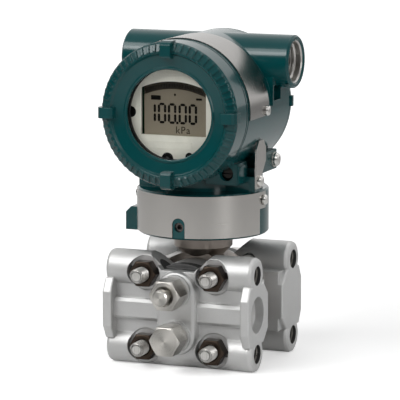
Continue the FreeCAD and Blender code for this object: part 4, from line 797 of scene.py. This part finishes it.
class TRANSMITTER_OT_indicator(bpy.types.Operator):
    """Sets the reading, the arched scale and the small marks on the screen"""

    bl_idname = "transmitter.indicator"
    bl_label = "Indicator marks"

    READING_FOOT = 130.3 * MM  # height of the reading's bottom segments
    READING_LEFT = -10.9 * MM  # where the reading starts
    ADVANCE = {"0": 5.6 * MM, "1": 2.3 * MM, ".": 0.3 * MM}  # what a character takes up
    POINT_BACK = 1.0 * MM  # how far the point stands back towards its digit
    UPRIGHT_GAP = 0.4 * MM  # between two upright segments
    LEVEL_GAP = 0.5 * MM  # at the ends of a level segment
    UNIT_PLACE = (0.6 * MM, 124.9 * MM)
    TICKS = 18  # on each side of the scale's middle tick
    TICK_STEP = math.radians(1.18)
    # Width, height and cut corners of the scale's pieces, and their radius, in millimetres
    TICK = (0.5, 2.3, 0.1, 43.3)
    RULE = (1.0, 0.22, 0.02, 41.75)
    # Width, height, cut corners and place of the small marks, in millimetres
    SMALL_MARKS = (
        (5.4, 2.3, 0.15, -10.3, 142.9),  # the mode flag
        (1.1, 1.5, 0.5, 0.3, 144.8),  # the pointer under the scale
        (3.4, 1.1, 0.3, 13.6, 142.9),  # the percent tick
    )

    def bar(self, width, height, corner):
        """A flat bar at the origin in the screen's plane, its corners cut."""
        bevel = {"offset": corner, "affect": "VERTICES", "segments": 1}
        rise = {"TRANSFORM_OT_translate": {"value": (0, 0, self.height)}}
        return edited(rectangle("bar", width, height), ALL, (bpy.ops.mesh.bevel, bevel),
                      ALL, (bpy.ops.mesh.extrude_region_move, rise), ALL, OUTWARDS)

    def laid(self, piece, across, up, turn=0.0):
        """A copy of a flat piece on the screen, turned in its plane."""
        at = Matrix.Translation((across, self.front, up))
        return copied(piece, "mark", at @ UPRIGHT @ Matrix.Rotation(turn, 4, "Z"))

    def reading(self, sizes):
        """The digits, each of straight segments with cut ends."""
        wide, tall, stroke = sizes.digit_width, sizes.digit_height, sizes.stroke
        upright = self.bar(stroke, tall / 2 - self.UPRIGHT_GAP, stroke * 0.45)
        level = self.bar(wide - self.LEVEL_GAP, stroke, stroke * 0.45)
        point = self.bar(stroke, stroke, stroke * 0.2)
        halves = (tall / 4, tall * 3 / 4)
        segments = {
            "0": [(upright, side, half) for side in (0, wide) for half in halves]
            + [(level, wide / 2, end) for end in (0, tall)],
            "1": [(upright, 0, half) for half in halves],
            ".": [(point, -self.POINT_BACK, 0)],
        }
        left = self.READING_LEFT
        marks = []
        for character in sizes.reading:
            marks += [self.laid(piece, left + across, self.READING_FOOT + up)
                      for piece, across, up in segments[character]]
            left += self.ADVANCE[character]
        removed(upright, level, point)
        return marks

    def scale(self):
        """The arched scale: a thin rule and its ticks."""
        centre = arch_height()
        pieces = [
            (self.bar(width * MM, height * MM, corner * MM), radius * MM)
            for width, height, corner, radius in (self.TICK, self.RULE)
        ]
        marks = []
        for index in range(-self.TICKS, self.TICKS + 1):
            angle = index * self.TICK_STEP
            marks += [
                self.laid(piece, math.sin(angle) * radius, centre + math.cos(angle) * radius,
                          -angle)
                for piece, radius in pieces
            ]
        removed(*(piece for piece, radius in pieces))
        return marks

    def unit(self, sizes):
        """The unit in plain letters."""
        bpy.ops.object.select_all(action="DESELECT")
        bpy.ops.object.text_add(location=(0, 0, 0))
        letters = bpy.context.active_object
        letters.data.body = sizes.unit
        letters.data.size = sizes.unit_size
        letters.data.space_character = 1.15
        letters.data.extrude = self.height / 2
        letters.data.resolution_u = 4
        bpy.ops.object.convert(target="MESH")
        unit = self.laid(letters, *self.UNIT_PLACE)
        removed(letters)
        return [unit]

    def small_marks(self):
        """The mode flag, the pointer under the scale and the percent tick."""
        marks = []
        for width, height, corner, across, up in self.SMALL_MARKS:
            bar = self.bar(width * MM, height * MM, corner * MM)
            marks.append(self.laid(bar, across * MM, up * MM))
            removed(bar)
        return marks

    def execute(self, context):
        sizes = context.scene.transmitter_details
        colours = context.scene.transmitter_finishes
        self.height = sizes.ink_height
        self.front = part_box("indicator_screen")[0].y
        ink = plain_finish("Screen ink", colours.ink, roughness=0.5, grain=1500, depth=0.002,
                           edge=0.01, gloss=0.1)
        groups = {
            "reading": self.reading(sizes),
            "scale_marks": self.scale(),
            "unit_mark": self.unit(sizes),
            "small_marks": self.small_marks(),
        }
        for name, marks in groups.items():
            dressed(joined(marks, name), "housing", ink)
        return {"FINISHED"}


class TRANSMITTER_OT_painted_well_shade(bpy.types.Operator):
    """Lines the wells round the face plate's screws with black rings, painted shade that widens the
    dark round each screw
    """

    bl_idname = "transmitter.screw_wells"
    bl_label = "Painted shade round screws"

    REACH = 23.7 * MM  # from the window's axis
    INSIDE = 1.2 * MM  # the lining's inner radius
    WELLS = ((180, 2.9), (262, 3.2), (292, 2.2))  # angle in degrees, radius in millimetres

    def execute(self, context):
        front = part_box("indicator_bezel")[0].y
        low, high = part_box("display_window")
        height = (low.z + high.z) / 2
        wells = []
        for angle, radius in self.WELLS:
            turn = math.radians(angle)
            disc = primitive("circle", "well", vertices=48, radius=radius * MM,
                             fill_type="NGON")
            at = (self.REACH * math.cos(turn), front, height + self.REACH * math.sin(turn))
            wells.append(outlined(disc, radius * MM - self.INSIDE, 0.3 * MM, at))
        # The near-black rings are painted shade, wider than the wells' real hollows
        black = plain_finish("Painted well shade", linear(12, 12, 13), roughness=0.5, grain=1200,
                             depth=0.006, edge=0.05, gloss=0.2)
        dressed(joined(wells, "painted_well_shade"), "housing", black)
        return {"FINISHED"}


class TRANSMITTER_OT_bezel_frame(bpy.types.Operator):
    """Raises the plain outline on the face plate below the screen"""

    bl_idname = "transmitter.bezel_frame"
    bl_label = "Bezel outline"

    WIDTH = 24.9 * MM
    HEIGHT = 3.6 * MM
    PLACE = (-2.15 * MM, 118.6 * MM)

    def execute(self, context):
        colours = context.scene.transmitter_finishes
        across, up = self.PLACE
        plate = edited(
            rectangle("plate", self.WIDTH, self.HEIGHT), ALL,
            (bpy.ops.mesh.bevel, {"offset": 0.5 * MM, "affect": "VERTICES", "segments": 4}),
        )
        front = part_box("indicator_bezel")[0].y
        outlined(plate, 0.3 * MM, 0.35 * MM, (across, front, up))
        plastic = plain_finish("Raised outline", colours.bezel, roughness=0.46, grain=1800,
                               depth=0.012, edge=0.05)
        dressed(joined([plate], "bezel_outline"), "housing", plastic)
        return {"FINISHED"}


# -------------------------------------------------------------------------------------------- panel

class TRANSMITTER_PT_looks(bpy.types.Panel):
    """Lists the operators and their settings"""

    bl_idname = "TRANSMITTER_PT_looks"
    bl_label = "Transmitter"
    bl_space_type = "VIEW_3D"
    bl_region_type = "UI"
    bl_category = "Transmitter"

    def draw(self, context):
        for operator in OPERATORS:
            self.layout.operator(operator.bl_idname)
        for name, group in SETTINGS.items():
            box = self.layout.box()
            for setting in group.__annotations__:
                box.prop(getattr(context.scene, name), setting)


OPERATORS = (
    TRANSMITTER_OT_stage,
    TRANSMITTER_OT_finishes,
    TRANSMITTER_OT_bore_threads,
    TRANSMITTER_OT_studs,
    TRANSMITTER_OT_indicator,
    TRANSMITTER_OT_painted_well_shade,
    TRANSMITTER_OT_bezel_frame,
)
SETTINGS = {
    "transmitter_stage": StageSettings,
    "transmitter_finishes": FinishSettings,
    "transmitter_details": DetailSettings,
}


def register():
    """Registers the settings, the operators and the panel."""
    for group in (*SETTINGS.values(), *OPERATORS, TRANSMITTER_PT_looks):
        bpy.utils.register_class(group)
    for name, group in SETTINGS.items():
        setattr(bpy.types.Scene, name, PointerProperty(type=group))


def unregister():
    """Takes them away again."""
    for name in SETTINGS:
        delattr(bpy.types.Scene, name)
    for group in (TRANSMITTER_PT_looks, *reversed(OPERATORS), *SETTINGS.values()):
        bpy.utils.unregister_class(group)


def main():
    """Registers the add-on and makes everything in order."""
    register()
    for operator in OPERATORS:
        group, name = operator.bl_idname.split(".")
        getattr(getattr(bpy.ops, group), name)()


if __name__ == "__main__":
    main()
